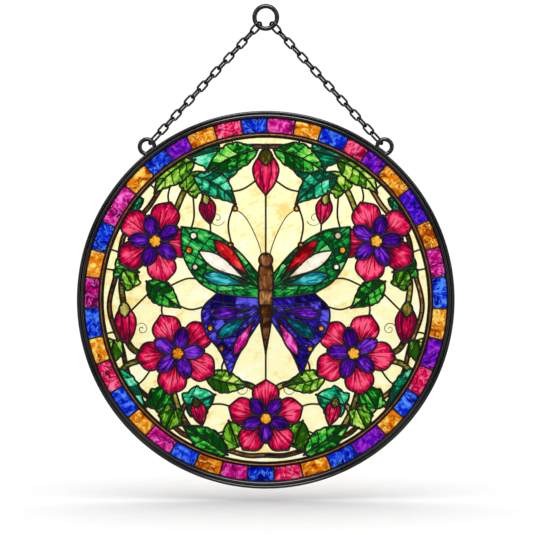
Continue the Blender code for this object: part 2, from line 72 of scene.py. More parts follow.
# Hoop's profile
HOOP_GROOVE = 0.0004            # how far the inner bead lies behind the outer one
INNER_BEAD_FLATTENING = 0.9
HOOP_FLAT = (0.0016, 0.0019)    # depths at the two ends of the flat inside the inner bead
HOOP_LIP = 0.0023               # how far the channel goes in behind the flat
HOOP_BACK_RIM = 0.0014
HOOP_BACK_EDGE = 0.0008

# Chain: how far each link is turned about the chain, in degrees
RING_LINK_ROLL = 55
SECOND_LINK_ROLL = 118
WIDE_LINK_ROLL = 17
NARROW_LINK_ROLL = 119
EYE_LINK_ROLL = 60
LINK_BITE = 0.00025             # how deep two links sink into each other
RING_LINK_SLACK = 0.0034
EYE_LINK_SLACK = 0.0050

# Foot of a loop on the hoop
FOOT_HALF_LENGTH = 0.0045
FOOT_HALF_HEIGHT = 0.0011
FOOT_DEPTH_SHARE = 0.45         # of the wire's thickness, to either side
FOOT_STANDOFF = 0.0002

# Glass
SMALLEST_ROOM = 1.6             # of a pane, in insets; a narrower one is under the lead
SWELL_WIDTH = 0.003             # how far from its edge a pane swells
CALM_EDGE = 0.001               # how far from its edge the ripples fade
BACK_SHIFT = 0.02               # moves the ripples on the back off those on the front
BACK_CALM = 0.5                 # their height there, as a share
BLOSSOM_GRAIN_RADIUS = 0.012    # where the streaks round a blossom keep their width
PANE_SEED, TILE_SEED = 11, 5
TILE_LAP = 0.0012               # how far a tile goes into the hoop's channel
TILE_SWELL = 0.00012
TILE_RIPPLE = 1.3               # against a pane's
TILE_BACK_SHIFT = 0.03
PILLOW = 9                      # how steeply a tile swells from its edges

# Lead
LEAD_SUNK = 0.0001              # how far the lead's shoulder lies within the glass
LEAD_ROUNDING = 0.0004
VEIN_TAPER, FINE_TAPER = (1.0, 0.55), (1.4, 1.1)
FRAME_LAP_OUTSIDE, FRAME_LAP_INSIDE = 0.0004, 0.0006
FRAME_ROUNDING = 0.0002
BAR_LAP = 0.0018                # how far a border bar goes into the hoop's channel
SOLDER_RADIUS = 0.0010
SOLDER_RISE = 0.0001
JOINT_SHIFT = 0.0002            # of the solder off the picture's frame
COPPER_RISE, COPPER_STANDOFF = 0.0009, 0.0003

# Border tiles clockwise from the top: width in degrees, glass
BORDER_START_DEG = 0.4
BORDER_TILES = (
    (9.0, "magenta"), (8.7, "amber"), (9.1, "blue"), (7.3, "crimson"), (7.4, "violet"),
    (10.4, "amber"), (11.6, "indigo"), (9.0, "amber"), (9.7, "magenta"), (10.3, "blue"),
    (10.0, "amber"), (10.0, "violet"), (9.2, "crimson"), (8.5, "blue"), (7.9, "amber"),
    (10.9, "violet"), (9.35, "blue"), (9.35, "amber"), (9.2, "crimson"), (8.7, "blue"),
    (8.75, "magenta"), (8.55, "amber"), (8.7, "blue"), (9.4, "magenta"), (8.0, "amber"),
    (9.6, "blue"), (10.1, "crimson"), (8.4, "amber"), (9.8, "blue"), (10.0, "magenta"),
    (8.9, "amber"), (9.5, "blue"), (13.3, "magenta"), (9.0, "amber"), (8.25, "blue"),
    (7.85, "violet"), (9.15, "amber"), (8.85, "crimson"), (8.3, "blue"))

# Glass: deep, main and light shade, as 0 to 255 of sRGB
GLASS = {
    "cream": ((250, 222, 134), (255, 250, 196), (255, 255, 236)),
    "green": ((0, 66, 8), (46, 184, 52), (172, 234, 104)),
    "moss": ((30, 84, 0), (112, 186, 36), (210, 232, 114)),
    "teal": ((0, 70, 46), (10, 182, 124), (132, 240, 194)),
    "olive": ((62, 54, 8), (134, 128, 38), (190, 184, 92)),
    "brown": ((52, 26, 8), (122, 70, 34), (188, 134, 82)),
    "petal": ((112, 0, 44), (214, 2, 70), (255, 92, 130)),
    "plum": ((28, 0, 72), (74, 6, 146), (140, 62, 226)),
    "gold": ((190, 92, 0), (250, 166, 26), (255, 216, 112)),
    "emerald": ((0, 66, 26), (14, 168, 66), (120, 222, 118)),
    "sea": ((0, 54, 70), (0, 128, 142), (84, 202, 198)),
    "ruby": ((96, 0, 10), (206, 18, 28), (252, 92, 80)),
    "pearl": ((214, 190, 150), (250, 238, 216), (255, 250, 240)),
    "midnight": ((10, 0, 72), (40, 14, 150), (96, 90, 236)),
    "magenta": ((92, 0, 60), (192, 0, 122), (250, 120, 220)),
    "amber": ((150, 56, 0), (226, 122, 0), (255, 232, 110)),
    "blue": ((0, 0, 112), (0, 30, 206), (80, 146, 255)),
    "crimson": ((120, 0, 40), (218, 0, 78), (255, 140, 176)),
    "violet": ((40, 0, 110), (88, 4, 180), (200, 50, 220)),
    "indigo": ((10, 0, 100), (52, 8, 186), (140, 50, 236)),
}

# Streaks of a glass: scale along and across the grain, contrast, how much lighter it is
# far from the lead, and how much its panes differ
GLASS_MANNER = {
    "cream": ((45, 110), 0.7, 0.03, 0.4), "petal": ((60, 800), 1.2, 0.15, 0.4),
    "plum": ((60, 800), 1.2, 0.10, 0.5), "gold": ((150, 300), 1.0, 0.1, 0.5),
    "green": ((150, 500), 1.3, 0.12, 1.0), "moss": ((150, 500), 1.3, 0.12, 1.0),
    "teal": ((150, 500), 1.3, 0.12, 1.0), "emerald": ((110, 500), 1.3, 0.1, 1.0),
    "midnight": ((110, 500), 1.3, 0.1, 1.0)}

# name, glass, foot x and y, direction, length, width, bend
LEAVES = (
    ("leaf_top", "green", 0.05, 0.92, -26, 0.37, 0.17, 0.03),
    ("leaf_brow", "teal", 0.44, 0.76, -146, 0.31, 0.16, -0.03),
    ("leaf_shoulder", "moss", 0.44, 0.86, -40, 0.32, 0.17, 0.03),
    ("leaf_waist", "green", 0.73, 0.11, -142, 0.26, 0.15, 0.0),
    ("leaf_hip", "teal", 0.91, -0.42, -122, 0.36, 0.17, 0.03),
    ("leaf_skirt", "moss", 0.37, -0.47, 192, 0.27, 0.14, 0.01),
    ("leaf_foot", "green", 0.24, -0.95, 34, 0.33, 0.16, 0.0),
)
LEAF_FOOT_POWER = 0.85
LEAF_FOOT_SWELL = 1.10
LEAF_TIP_THINNING = 0.35
LEAF_SCALLOPS, LEAF_SCALLOP, LEAF_SCALLOP_DIP = 6, 0.10, 0.03
LEAF_VEIN_STARTS = (0.14, 0.31, 0.48, 0.65)
# name, middle x and y, radius, turn
BLOSSOMS = (
    ("blossom_upper", 0.68, 0.36, 0.26, 112),
    ("blossom_lower", 0.54, -0.33, 0.26, 66),
)
BLOSSOM_BOTTOM = (0.0, -0.73, 0.24, 90)
# x and y of the foot, direction, length, width
BUD_TOP = (0.0, 0.90, -90, 0.26, 0.16)
BUD_SIDE = (0.87, -0.04, -95, 0.24, 0.13)

# Smooth arcs through points, right half
WING_UPPER = (((0.03, 0.01), (0.03, 0.14)),
              ((0.03, 0.14), (0.18, 0.31), (0.35, 0.42), (0.52, 0.45)),
              ((0.52, 0.45), (0.51, 0.28), (0.42, 0.12), (0.30, 0.04)),
              ((0.30, 0.04), (0.16, 0.02), (0.03, 0.01)))
WING_LOWER = (((0.03, 0.01), (0.16, 0.03), (0.30, 0.04)),
              ((0.30, 0.04), (0.39, -0.06), (0.37, -0.20), (0.28, -0.32), (0.22, -0.47)),
              ((0.22, -0.47), (0.16, -0.33), (0.03, -0.12)),
              ((0.03, -0.12), (0.03, 0.01)))
BODY_HALF = ((0.0, 0.27), (0.04, 0.20), (0.045, 0.07), (0.035, -0.12), (0.0, -0.33))
# Cells in a wing: glass, angle from the wing's root, start, length, width
UPPER_ROOT = (0.03, 0.07)
UPPER_CELLS = (("ruby", 46, 0.09, 0.33, 0.080), ("pearl", 31, 0.09, 0.36, 0.086),
               ("sea", 13, 0.09, 0.28, 0.080))
UPPER_SPOTS = (("pearl", 38, 0.525, 0.022), ("gold", 28, 0.50, 0.021),
               ("pearl", 18, 0.425, 0.019), ("gold", 55, 0.325, 0.017))
LOWER_ROOT = (0.03, -0.05)
LOWER_CELLS = (("plum", -8, 0.08, 0.23, 0.075), ("sea", -34, 0.08, 0.25, 0.078),
               ("magenta", -60, 0.08, 0.26, 0.066))
LOWER_SPOTS = (("gold", -22, 0.335, 0.018), ("gold", -46, 0.350, 0.017))

# Small leaves with five points: glass, foot x and y, direction, size
SMALL_LEAVES = (
    ("moss", 0.50, 0.64, 128, 0.115), ("teal", 0.86, 0.50, 100, 0.13),
    ("green", 0.95, 0.20, 190, 0.105), ("green", 0.70, -0.70, 122, 0.125),
    ("teal", 0.52, -0.66, 160, 0.135), ("moss", 0.93, -0.22, -80, 0.11),
    ("moss", 0.80, 0.06, 60, 0.09), ("moss", 0.16, -0.93, 70, 0.12),
    ("teal", 0.25, 0.93, -15, 0.14), ("moss", 0.545, -0.64, -65, 0.11),
    ("teal", 0.33, 0.80, 180, 0.10))
SMALL_BUDS = ((0.37, 0.63, -100, 0.17, 0.10), (0.43, -0.62, -105, 0.16, 0.095))

FEELER = ((0.012, 0.22), (0.05, 0.36), (0.12, 0.50), (0.19, 0.56))
# Stems: glass, width, points
STEMS = (
    ("brown", 0.022, ((0, 0.942), (0.1, 0.942), (0.22, 0.925), (0.36, 0.9), (0.588, 0.753),
                      (0.723, 0.565), (0.866, 0.404), (0.908, 0.193), (0.961, -0.05),
                      (0.886, -0.288), (0.825, -0.495), (0.658, -0.658), (0.513, -0.821),
                      (0.278, -0.908), (0.12, -0.955), (0, -0.955))),
    ("olive", 0.030, ((0.0, 0.88), (0.0, 0.945))),
    ("olive", 0.030, ((0.435, 0.757), (0.50, 0.67), (0.56, 0.53))),
    ("olive", 0.028, ((0.40, 0.74), (0.385, 0.70), (0.37, 0.60))),
    ("olive", 0.030, ((0.64, 0.20), (0.67, 0.14), (0.70, 0.09))),
    ("olive", 0.030, ((0.76, 0.34), (0.88, 0.14), (0.87, -0.06))),
    ("olive", 0.030, ((0.86, -0.24), (0.81, -0.31), (0.72, -0.34))),
    ("olive", 0.030, ((0.89, -0.44), (0.83, -0.39), (0.70, -0.36))),
    ("olive", 0.030, ((0.16, -0.51), (0.09, -0.53), (0.02, -0.58))),
    ("olive", 0.030, ((0.47, -0.79), (0.53, -0.68), (0.58, -0.52))),
    ("olive", 0.026, ((0.53, -0.70), (0.48, -0.63), (0.43, -0.60))),
)
# Cuts in the ground, right half; their ends lie under other outlines
GROUND_CUTS = (
    ((0.0, 0.67), (0.0, 0.27)), ((0.0, -0.30), (0.0, -0.56)),
    ((0.19, 0.60), (0.23, 0.46), (0.20, 0.30)),
    ((0.05, 0.74), (0.14, 0.68), (0.24, 0.66)),
    ((0.46, 0.43), (0.44, 0.52), (0.45, 0.68)),
    ((0.342, 0.49), (0.34, 0.44), (0.335, 0.38)),
    ((0.55, -0.03), (0.46, -0.06), (0.37, -0.04)),
    ((0.38, 0.12), (0.48, 0.13), (0.60, 0.08)),
    ((0.62, 0.0), (0.64, -0.06), (0.62, -0.15)),
    ((0.70, 0.06), (0.78, -0.02), (0.86, -0.10)),
    ((0.48, -0.79), (0.58, -0.74), (0.69, -0.64)),
    ((0.20, -0.66), (0.29, -0.64), (0.42, -0.66)),
    ((0.59, 0.58), (0.60, 0.64), (0.58, 0.72)),
    ((0.82, 0.52), (0.90, 0.50), (0.99, 0.46)),
    ((0.68, -0.39), (0.76, -0.50), (0.83, -0.54)),
    ((0.25, -0.50), (0.27, -0.42), (0.25, -0.36)),
    ((0.30, -0.46), (0.34, -0.42), (0.40, -0.40)),
    ((0.12, -0.84), (0.22, -0.80), (0.34, -0.84)),
)
# Short cuts between the brown vine and the rim, in degrees
RIM_CUTS = (78, 45, 37, 18, 11, -12, -19, -42, -66)

# Tendrils: foot x and y, start angle, turns, radius
TENDRILS = ((0.30, 0.50, 200, 1.3, 0.05), (0.76, -0.18, 20, 1.4, 0.04),
            (0.15, -0.55, 100, 1.3, 0.045), (0.45, 0.20, 100, -1.3, 0.035))
# Fine lines in a wing, from its root: angles of the rays, reaches of the arcs
UPPER_RAYS = (66, 55, 38, 26, 20, 6, -4)
UPPER_ARCS = (0.17, 0.27, 0.36, 0.44, 0.52)
LOWER_RAYS = (8, -2, -15, -27, -40, -52, -66)
LOWER_ARCS = (0.16, 0.24, 0.31, 0.38)

# Stage
FLOOR_HALF_SIDE, FLOOR_LEVEL = 60.0, -0.3315
SKY_ENERGY, SKY_ANGLE_DEG, SKY_TILT_DEG = 2.55, 110, 2
# The reflected panels' strengths in watts, clockwise from the top
PANEL_ENERGIES = (24, 5, 3, 2, 2, 2, 3, 5)
PANEL_SIZE, PANEL_REACH = 0.7, 1.05
CAMERA_PLACE = (0.0005, -1.5, -0.1746)
VIEW_WIDTH = 0.3591             # what the camera takes in at the suncatcher
SENSOR_WIDTH = 36
# The world's strength, and what it loses or gains in each kind of ray
WORLD_STRENGTH, BOUNCED_LOSS, GLOSSY_LOSS, GLASS_GAIN = 1.02, 0.70, 0.96, 0.14

Shape = namedtuple("Shape", "name glass outline place tone cuts fine veins")
Sheet = namedtuple("Sheet", "points triangles pane shape rim room")


def linear(shade):
    """sRGB 0 to 255 as linear 0 to 1, by the usual curve."""
    share = np.array(shade) / 255
    return tuple(np.where(share > 0.04045, ((share + 0.055) / 1.055) ** 2.4, share / 12.92))


# Outlines

def turned(points, x, y, degrees, size=1.0):
    """The points grown by size, turned about the origin and moved to x, y."""
    a = math.radians(degrees)
    turn = np.array(((math.cos(a), math.sin(a)), (-math.sin(a), math.cos(a)))) * size
    return np.asarray(points, float) @ turn + (x, y)


def polar(radius, degrees):
    a = np.radians(degrees)
    return np.stack(np.broadcast_arrays(radius * np.cos(a), radius * np.sin(a)), -1)


def through(points, steps=10):
    """A smooth curve through the points: on each span, the cubic whose slope at a point is
    half the step from the point before it to the one after it."""
    p = np.asarray(points, float)
    if len(p) < 3:
        return p
    p = np.vstack((2 * p[0] - p[1], p, 2 * p[-1] - p[-2]))
    a, b, c, d = (p[i:len(p) - 3 + i, None] for i in range(4))
    t = np.linspace(0, 1, steps, endpoint=False)[:, None]
    span = b + (c - a) * t / 2 + (a - 2.5 * b + 2 * c - d / 2) * t ** 2
    span = span + (1.5 * b - 1.5 * c + (d - a) / 2) * t ** 3
    return np.vstack((span.reshape(-1, 2), p[-2]))


def joined(arcs):
    """Arcs that meet end to end as one closed outline."""
    return np.vstack([through(arc)[:-1] for arc in arcs])


def spaced(path, step, closed=False):
    """The path at even spacing along its length, by interpolating against that length."""
    path = np.vstack((path, path[:1])) if closed else np.asarray(path, float)
    run = np.r_[0, np.cumsum(np.hypot(*np.diff(path, axis=0).T))]
    count = max(int(round(run[-1] / step)), 3)
    at = np.linspace(0, run[-1], count + 1)
    even = np.stack([np.interp(at, run, path[:, k]) for k in (0, 1)], 1)
    return even[:-1] if closed else even


def mirrored(points):
    return np.asarray(points, float)[::-1] * (-1, 1)


def leaf(x, y, degrees, length, width, bend):
    """A pointed leaf, its rib and its side veins.

    At a share t of the length the middle line is bend 4t(1-t) off the chord, and the leaf
    is half width sin(pi t^0.85) (1.10 - 0.35 t) wide to either side.
    """
    def at(t, across):
        swell = np.sin(np.pi * np.clip(t, 0, 1) ** LEAF_FOOT_POWER)
        half = width / 2 * swell * (LEAF_FOOT_SWELL - LEAF_TIP_THINNING * t)
        return np.stack((t * length, bend * 4 * t * (1 - t) + across * half), -1)

    t = np.linspace(0, 1, 40)
    scallop = 1 + LEAF_SCALLOP * np.abs(np.sin(np.pi * t * LEAF_SCALLOPS)) - LEAF_SCALLOP_DIP
    outline = np.vstack((at(t, -scallop), at(t[-2:0:-1], scallop[-2:0:-1])))
    rib = at(np.linspace(-0.02, 1, 30), 0)
    veins = []
    for start in LEAF_VEIN_STARTS:
        s = np.linspace(0, 1, 10)
        for side in (-1, 1):
            veins.append(at(start + s * (0.22 - 0.10 * s), side * 1.1 * s))
    place = (x, y, degrees)
    return (turned(outline, *place), [turned(rib, *place)],
            [turned(vein, *place) for vein in veins])


def pointed_leaf(x, y, degrees, size):
    """A leaf of five points, and a vein to each.

    Round its middle the radius is the greatest, over the points, of the point's reach less
    a share of the angle to it, raised to 0.8.
    """
    a = np.linspace(-180, 180, 160, endpoint=False)
    tips = np.array(((0, 1.0), (58, 0.80), (-58, 0.80), (122, 0.68), (-122, 0.68)))
    off = np.abs((a[:, None] - tips[:, 0] + 180) % 360 - 180) / 58
    radius = (tips[:, 1] - 0.36 * off ** 0.8).max(1)
    middle = np.array((0.62, 0.0))
    rays = [np.array(((0.0, 0.0), (0.30, 0.0), (1.66, 0.0)))]
    rays += [through(((0.25, 0.0), 0.5 * polar(r, t) + (0.42, 0), polar(r * 1.05, t) + middle))
             for t, r in tips[1:]]
    place = (x, y, degrees, size)
    return (turned(polar(radius, a) + middle, *place), [turned(rays[0], *place)],
            [turned(ray, *place) for ray in rays[1:]])


def petals(inner, outer, power, point=0.0):
    """A ring of five petals with their middles at 0, 72... degrees.

    The radius falls from outer to inner as the share of the angle from a petal's middle to
    its notch, raised to power; point times the share takes off more near the middle.
    """
    a = np.linspace(0, 360, 360, endpoint=False)
    share = np.minimum(a % 72, 72 - a % 72) / 36
    fall = np.minimum(share ** power + point * share * (1 - share), 1)
    return polar(outer - (outer - inner) * fall, a)


def round_outline(x, y, radius, steps=40):
    return polar(radius, np.linspace(0, 360, steps, endpoint=False)) + (x, y)


def drop(x, y, degrees, start, length, width):
    """A cell of a wing: width sin(pi t^1.5) to either side of a ray from the wing's root."""
    t = np.linspace(0, 1, 36)
    half = width / 2 * np.sin(np.pi * t ** 1.5)
    side = np.stack((start + t * length, half), 1)
    return turned(np.vstack((side * (1, -1), side[-2:0:-1])), x, y, degrees)


def ribbon(points, width):
    """A stem: a curve through the points, half the width to either side."""
    path = spaced(through(points), 0.01)
    slope = np.gradient(path, axis=0)
    slope /= np.hypot(*slope.T)[:, None]
    across = np.stack((-slope[:, 1], slope[:, 0]), 1) * width / 2
    return np.vstack((path - across, (path + across)[::-1])), path


def spiral(x, y, degrees, turns, radius):
    """A tendril whose radius shrinks evenly with its angle."""
    t = np.linspace(0, 1, 60)
    return polar(radius * (1 - 0.85 * t), degrees + 360 * turns * t) + (x, y)


def bud(x, y, degrees, length, width):
    """A closed bud with two ribs, and the cap it hangs from."""
    side = through(((0, 0.10), (0.16, 0.36), (0.40, 0.50), (0.72, 0.34), (1, 0)))
    grow = (length, width)
    body = np.vstack((side * (1, -1), side[-2:0:-1])) * grow
    ribs = [through(((0.10, k * 0.12), (0.42, k * 0.20), (0.90, k * 0.05))) * grow
            for k in (-1, 1)]
    cap_side = through(((-0.12, 0.05), (-0.02, 0.20), (0.12, 0.27), (0.24, 0.10), (0.30, 0)))
    cap = np.vstack((cap_side * (1, -1), cap_side[-2:0:-1])) * grow
    place = (x, y, degrees)
    return (turned(body, *place), [turned(rib, *place) for rib in ribs],
            turned(cap, *place))


@functools.cache
def picture():
    """The pile of shapes, lowest first, in shares of the picture's radius."""
    cuts = [through(cut) for cut in GROUND_CUTS]
    cuts += [polar(np.array((0.955, 1.02)), angle) for angle in RIM_CUTS]
    sides = [mirrored(cut) for cut in cuts if np.abs(cut[:, 0]).max() > 0]
    curls = [spiral(*curl) for curl in TENDRILS]
    feelers = [through(FEELER), mirrored(through(FEELER))]
    pile = [Shape("ground", "cream", round_outline(0, 0, 1.006, 240), (0, 0, 20, 1), 0.0,
                  cuts + sides, feelers, curls + [mirrored(curl) for curl in curls])]

    def add(name, glass, outline, place, tone=0.0, cuts=(), fine=(), veins=()):
        pile.append(Shape(name, glass, np.asarray(outline), place, tone, cuts, fine, veins))

    def both(name, glass, outline, place, tone=0.0, *lines):
        x, y, degrees, size = place
        add(name + "_right", glass, outline, place, tone, *lines)
        add(name + "_left", glass, mirrored(outline), (-x, y, 180 - degrees, size), tone,
            *[[mirrored(line) for line in group] for group in lines])

    def blossom(put, name, x, y, size, degrees):
        place = (x, y, degrees, size)
        k = np.arange(5) * 72
        spokes = [turned(polar(np.array((0.45, 0.05)), a + 36), *place) for a in k]
        streaks = [turned(polar(np.linspace(0.2, 0.80 - 0.1 * abs(side), 12),
                                a + np.linspace(3, 12, 12) * side), *place)
                   for a in k for side in (-1, 0, 1)]
        put(name, "petal", turned(petals(0.36, 1.0, 4.5, 0.65), *place), place, 0.0,
            spokes, (), streaks)
        inner = [turned(polar(np.array((0.30, 0.05)), a), *place) for a in k]
        put(name + "_inner", "plum",
            turned(petals(0.22, 0.64, 2.2, 0.5), x, y, degrees + 36, size),
            (x, y, degrees + 36, size), 0.0, inner)
        put(name + "_heart", "gold", turned(round_outline(0, 0, 0.15), *place), place)

    for glass, width, points in STEMS:
        outline, path = ribbon(points, width)
        x, y = path[0]
        if abs(points[0][0]) + abs(points[-1][0]) == 0 and len(points) == 2:
            add("stem", glass, outline, (x, y, 90, 1))
        else:
            both("stem", glass, outline, (x, y, 0, 1))
    for glass, *where in SMALL_LEAVES:
        outline, cuts, veins = pointed_leaf(*where)
        both("leaf_small", glass, outline, (where[0], where[1], where[2], 1), 0.0, cuts, veins)
    for name, glass, *where in LEAVES:
        outline, cuts, veins = leaf(*where)
        both(name, glass, outline, (where[0], where[1], where[2], 1), 0.0, cuts, veins)
    buds = [("bud_small", where, both) for where in SMALL_BUDS]
    for name, where, put in (*buds, ("bud_side", BUD_SIDE, both), ("bud_top", BUD_TOP, add)):
        body, ribs, cap = bud(*where)
        place = (where[0], where[1], where[2], 1)
        put(name, "petal", body, place, 0.03, (), ribs)
        put(name + "_cap", "olive", cap, place)
    for name, *where in BLOSSOMS:
        blossom(both, name, *where)
    blossom(add, "blossom_bottom", *BLOSSOM_BOTTOM)
    for name, glass, arcs, root, cells, spots, rays, rings in (
            ("wing_lower", "midnight", WING_LOWER, LOWER_ROOT, LOWER_CELLS, LOWER_SPOTS,
             LOWER_RAYS, LOWER_ARCS),
            ("wing_upper", "emerald", WING_UPPER, UPPER_ROOT, UPPER_CELLS, UPPER_SPOTS,
             UPPER_RAYS, UPPER_ARCS)):
        fine = [root + polar(np.array((0.02, 0.7)), angle) for angle in rays]
        fine += [root + polar(reach, np.linspace(-80, 90, 40)) for reach in rings]
        both(name, glass, joined(arcs), (*root, cells[1][1], 1), 0.0, (), fine)
        for cell_glass, angle, *size in cells:
            both(name + "_cell", cell_glass, drop(*root, angle, *size), (*root, angle, 1))
        for spot_glass, angle, reach, radius in spots:
            spot = root + polar(reach, angle)
            both(name + "_spot", spot_glass, round_outline(*spot, radius, 24),
                 (*spot, angle, 1))
    both("butterfly_feeler_tip", "gold", round_outline(*FEELER[-1], 0.016, 20),
         (*FEELER[-1], 0, 1))
    half = through(BODY_HALF)
    body = np.vstack((half, mirrored(half)[1:-1]))
    rings = [np.array(((-0.05, y), (0.05, y))) for y in (-0.24, -0.17, -0.10, -0.03, 0.06)]
    add("butterfly_body", "brown", body, (0, 0, 90, 1), 0.0, (), rings)
    add("butterfly_head", "brown", round_outline(0, 0.245, 0.042), (0, 0.25, 90, 1), 0.1)
    return pile


def inside(points, loop):
    """Whether each point is in the loop: an odd count of its edges lie to its right."""
    within = np.zeros(len(points), bool)
    near = ((points > loop.min(0)) & (points < loop.max(0))).all(1)
    x, y = points[near, 0, None], points[near, 1, None]
    (x1, y1), (x2, y2) = loop.T, np.roll(loop, -1, 0).T
    spans = (y1 > y) != (y2 > y)
    with np.errstate(divide="ignore", invalid="ignore"):
        cross = x1 + (y - y1) * (x2 - x1) / (y2 - y1)
    within[near] = (spans & (x < cross)).sum(1) % 2 == 1
    return within


def shown_runs(path, closed, level, own_loop=None):
    """The stretches of a path that no higher outline covers: pairs of points and closed."""
    pile = picture()
    hidden = np.hypot(*path.T) > 1.001
    for shape in pile[level + 1:]:
        hidden |= inside(path, shape.outline)
    if own_loop is not None:
        hidden |= ~inside(path, own_loop)
    if closed and not hidden.any():
        return [(path, True)]
    if closed:
        path = np.roll(path, -int(np.flatnonzero(hidden)[0]), 0)
        hidden = np.roll(hidden, -int(np.flatnonzero(hidden)[0]))
        path, hidden = np.vstack((path, path[:1])), np.r_[hidden, hidden[:1]]
    ends = np.flatnonzero(np.diff(np.r_[0, (~hidden).astype(np.int8), 0]))
    return [(path[max(a - 1, 0):b + 1], False) for a, b in zip(ends[::2], ends[1::2])
            if b - a > 1]


@functools.cache
def lead_paths(radius):
    """Every lead line that shows: kind, points in metres, closed, level in the pile."""
    step = PATH_STEP / radius
    found = []
    for level, shape in enumerate(picture()):
        sources = [("edge", shape.outline, True, None)] if level else []
        sources += [("cut", cut, False, shape.outline) for cut in shape.cuts]
        sources += [("fine", cut, False, shape.outline) for cut in shape.fine]
        sources += [("vein", vein, False, shape.outline) for vein in shape.veins]
        for kind, path, closed, own in sources:
            for run, whole in shown_runs(spaced(path, step, closed), closed, level, own):
                found.append((kind, run * radius, whole, level))
    return found


def nearest(points, others):
    """Each point's distance to the nearest of the others, at most the reach, worked out
    block by block against the others in and round the block."""
    reach, block = NEAREST_REACH, NEAREST_BLOCK
    found = np.full(len(points), reach)
    cells = np.floor(points / block).astype(int)
    for cell in np.unique(cells, axis=0):
        mine = np.flatnonzero((cells == cell).all(1))
        low, high = cell * block - reach, (cell + 1) * block + reach
        near = others[((others > low) & (others < high)).all(1)]
        if len(near):
            square = ((points[mine, None] - near) ** 2).sum(2).min(1)
            found[mine] = np.minimum(np.sqrt(square), reach)
    return found


@functools.cache
def sheet(radius):
    """The picture's disc cut into panes.

    A triangular grid with a row along every outline and cut. Each triangle belongs to the
    topmost shape that holds its middle; triangles that share an edge are one pane if they
    are of one shape and no cut parts them. A pane's room is how far its inmost triangle
    lies from any lead line.
    """
    paths = [path for path in lead_paths(radius) if path[0] != "vein"]
    rim = round_outline(0, 0, radius, 240)
    rows = [rim] + [points for _, points, _, _ in paths]
    closed = [True] + [whole for _, _, whole, _ in paths]
    is_cut = [False] + [kind in ("cut", "fine") for kind, *_ in paths]
    first = np.cumsum([0] + [len(row) for row in rows])
    walls, cut_walls = [], []
    for row, start, whole, cut in zip(rows, first, closed, is_cut):
        i = np.arange(start, start + len(row) - (0 if whole else 1))
        walls.append(np.stack((i, start + (i + 1 - start) % len(row)), 1))
        cut_walls.append(np.full(len(i), cut))
    walls, cut_walls = np.vstack(walls), np.concatenate(cut_walls)
    lines = np.vstack(rows)

    count = int(radius / PLATE_STEP) + 1
    i, j = np.mgrid[-count:count + 1, -count:count + 1]
    grid = np.stack(((i + 0.5 * (j % 2)) * PLATE_STEP, j * PLATE_STEP * 0.866), -1)
    grid = grid.reshape(-1, 2)
    grid = grid[np.hypot(*grid.T) < radius - 0.4 * PLATE_STEP]
    grid = grid[nearest(grid, lines) > 0.42 * PLATE_STEP]
    spots, edges, faces, _, edge_from, _ = delaunay_2d_cdt(
        np.vstack((lines, grid)).tolist(), walls.tolist(), [], 0, 1e-6)
    spots, faces, edges = np.array(spots), np.array(faces), np.array(edges)
    middle = spots[faces].mean(1)
    faces = faces[np.hypot(*middle.T) < radius]
    middle = spots[faces].mean(1) / radius
    shape = np.zeros(len(faces), int)
    for level, item in enumerate(picture()[1:], 1):
        shape[inside(middle, item.outline)] = level

    on_cut = np.array([bool(cut_walls[source].any()) if source else False
                       for source in edge_from])
    size = len(spots)
    barred = np.sort(edges[on_cut], 1) @ (size, 1)
    sides = np.stack((faces, np.roll(faces, -1, 1)), 2).reshape(-1, 2)
    keys = np.sort(sides, 1) @ (size, 1)
    order = np.argsort(keys, kind="stable")
    same = np.flatnonzero(keys[order][1:] == keys[order][:-1])
    a, b = order[same] // 3, order[same + 1] // 3
    linked = (shape[a] == shape[b]) & ~np.isin(keys[order][same], barred)
    a, b = a[linked], b[linked]
    pane = np.arange(len(faces))
    while True:
        low = np.minimum(pane[a], pane[b])
        new = pane.copy()
        np.minimum.at(new, a, low)
        np.minimum.at(new, b, low)
        new = new[new]
        if (new == pane).all():
            break
        pane = new
    pane = np.unique(pane, return_inverse=True)[1]
    room = np.zeros(pane.max() + 1)
    np.maximum.at(room, pane, nearest(middle * radius, lines))
    return Sheet(spots, faces, pane, shape, nearest(spots, lines), room)


# Meshes

def mesh_object(name, points, polygons, smooth_degrees=40):
    """A mesh from an array of points and arrays of polygons, each with one corner count."""
    mesh = bpy.data.meshes.new(name)
    corners = np.concatenate([part.ravel() for part in polygons]).astype(np.int32)
    sizes = np.concatenate([np.full(len(part), part.shape[1]) for part in polygons])
    mesh.vertices.add(len(points))
    mesh.vertices.foreach_set("co", np.ascontiguousarray(points, np.float32).ravel())
    mesh.loops.add(len(corners))
    mesh.loops.foreach_set("vertex_index", corners)
    mesh.polygons.add(len(sizes))
    mesh.polygons.foreach_set("loop_start", np.r_[0, np.cumsum(sizes)[:-1]].astype(np.int32))
    mesh.update(calc_edges=True)
    mesh.shade_smooth()
    mesh.set_sharp_from_angle(angle=math.radians(smooth_degrees))
    obj = bpy.data.objects.new(name, mesh)
    bpy.context.scene.collection.objects.link(obj)
    return obj


def attribute(obj, name, kind, values):
    """A value at each vertex, for the finish to read."""
    data = obj.data.attributes.new(name, kind, "POINT").data
    field = "vector" if kind == "FLOAT_VECTOR" else "value"
    data.foreach_set(field, np.ascontiguousarray(values, np.float32).ravel())


def grid_faces(rows, columns, rows_closed=True, columns_closed=True, first=0):
    """Quads on a grid of points, wrapped round where a direction is closed."""
    i = np.arange(rows if rows_closed else rows - 1)[:, None]
    j = np.arange(columns if columns_closed else columns - 1)[None, :]
    a, b = i * columns + j, i * columns + (j + 1) % columns
    c, d = (i + 1) % rows * columns + (j + 1) % columns, (i + 1) % rows * columns + j
    return np.stack((a, b, c, d), -1).reshape(-1, 4) + first


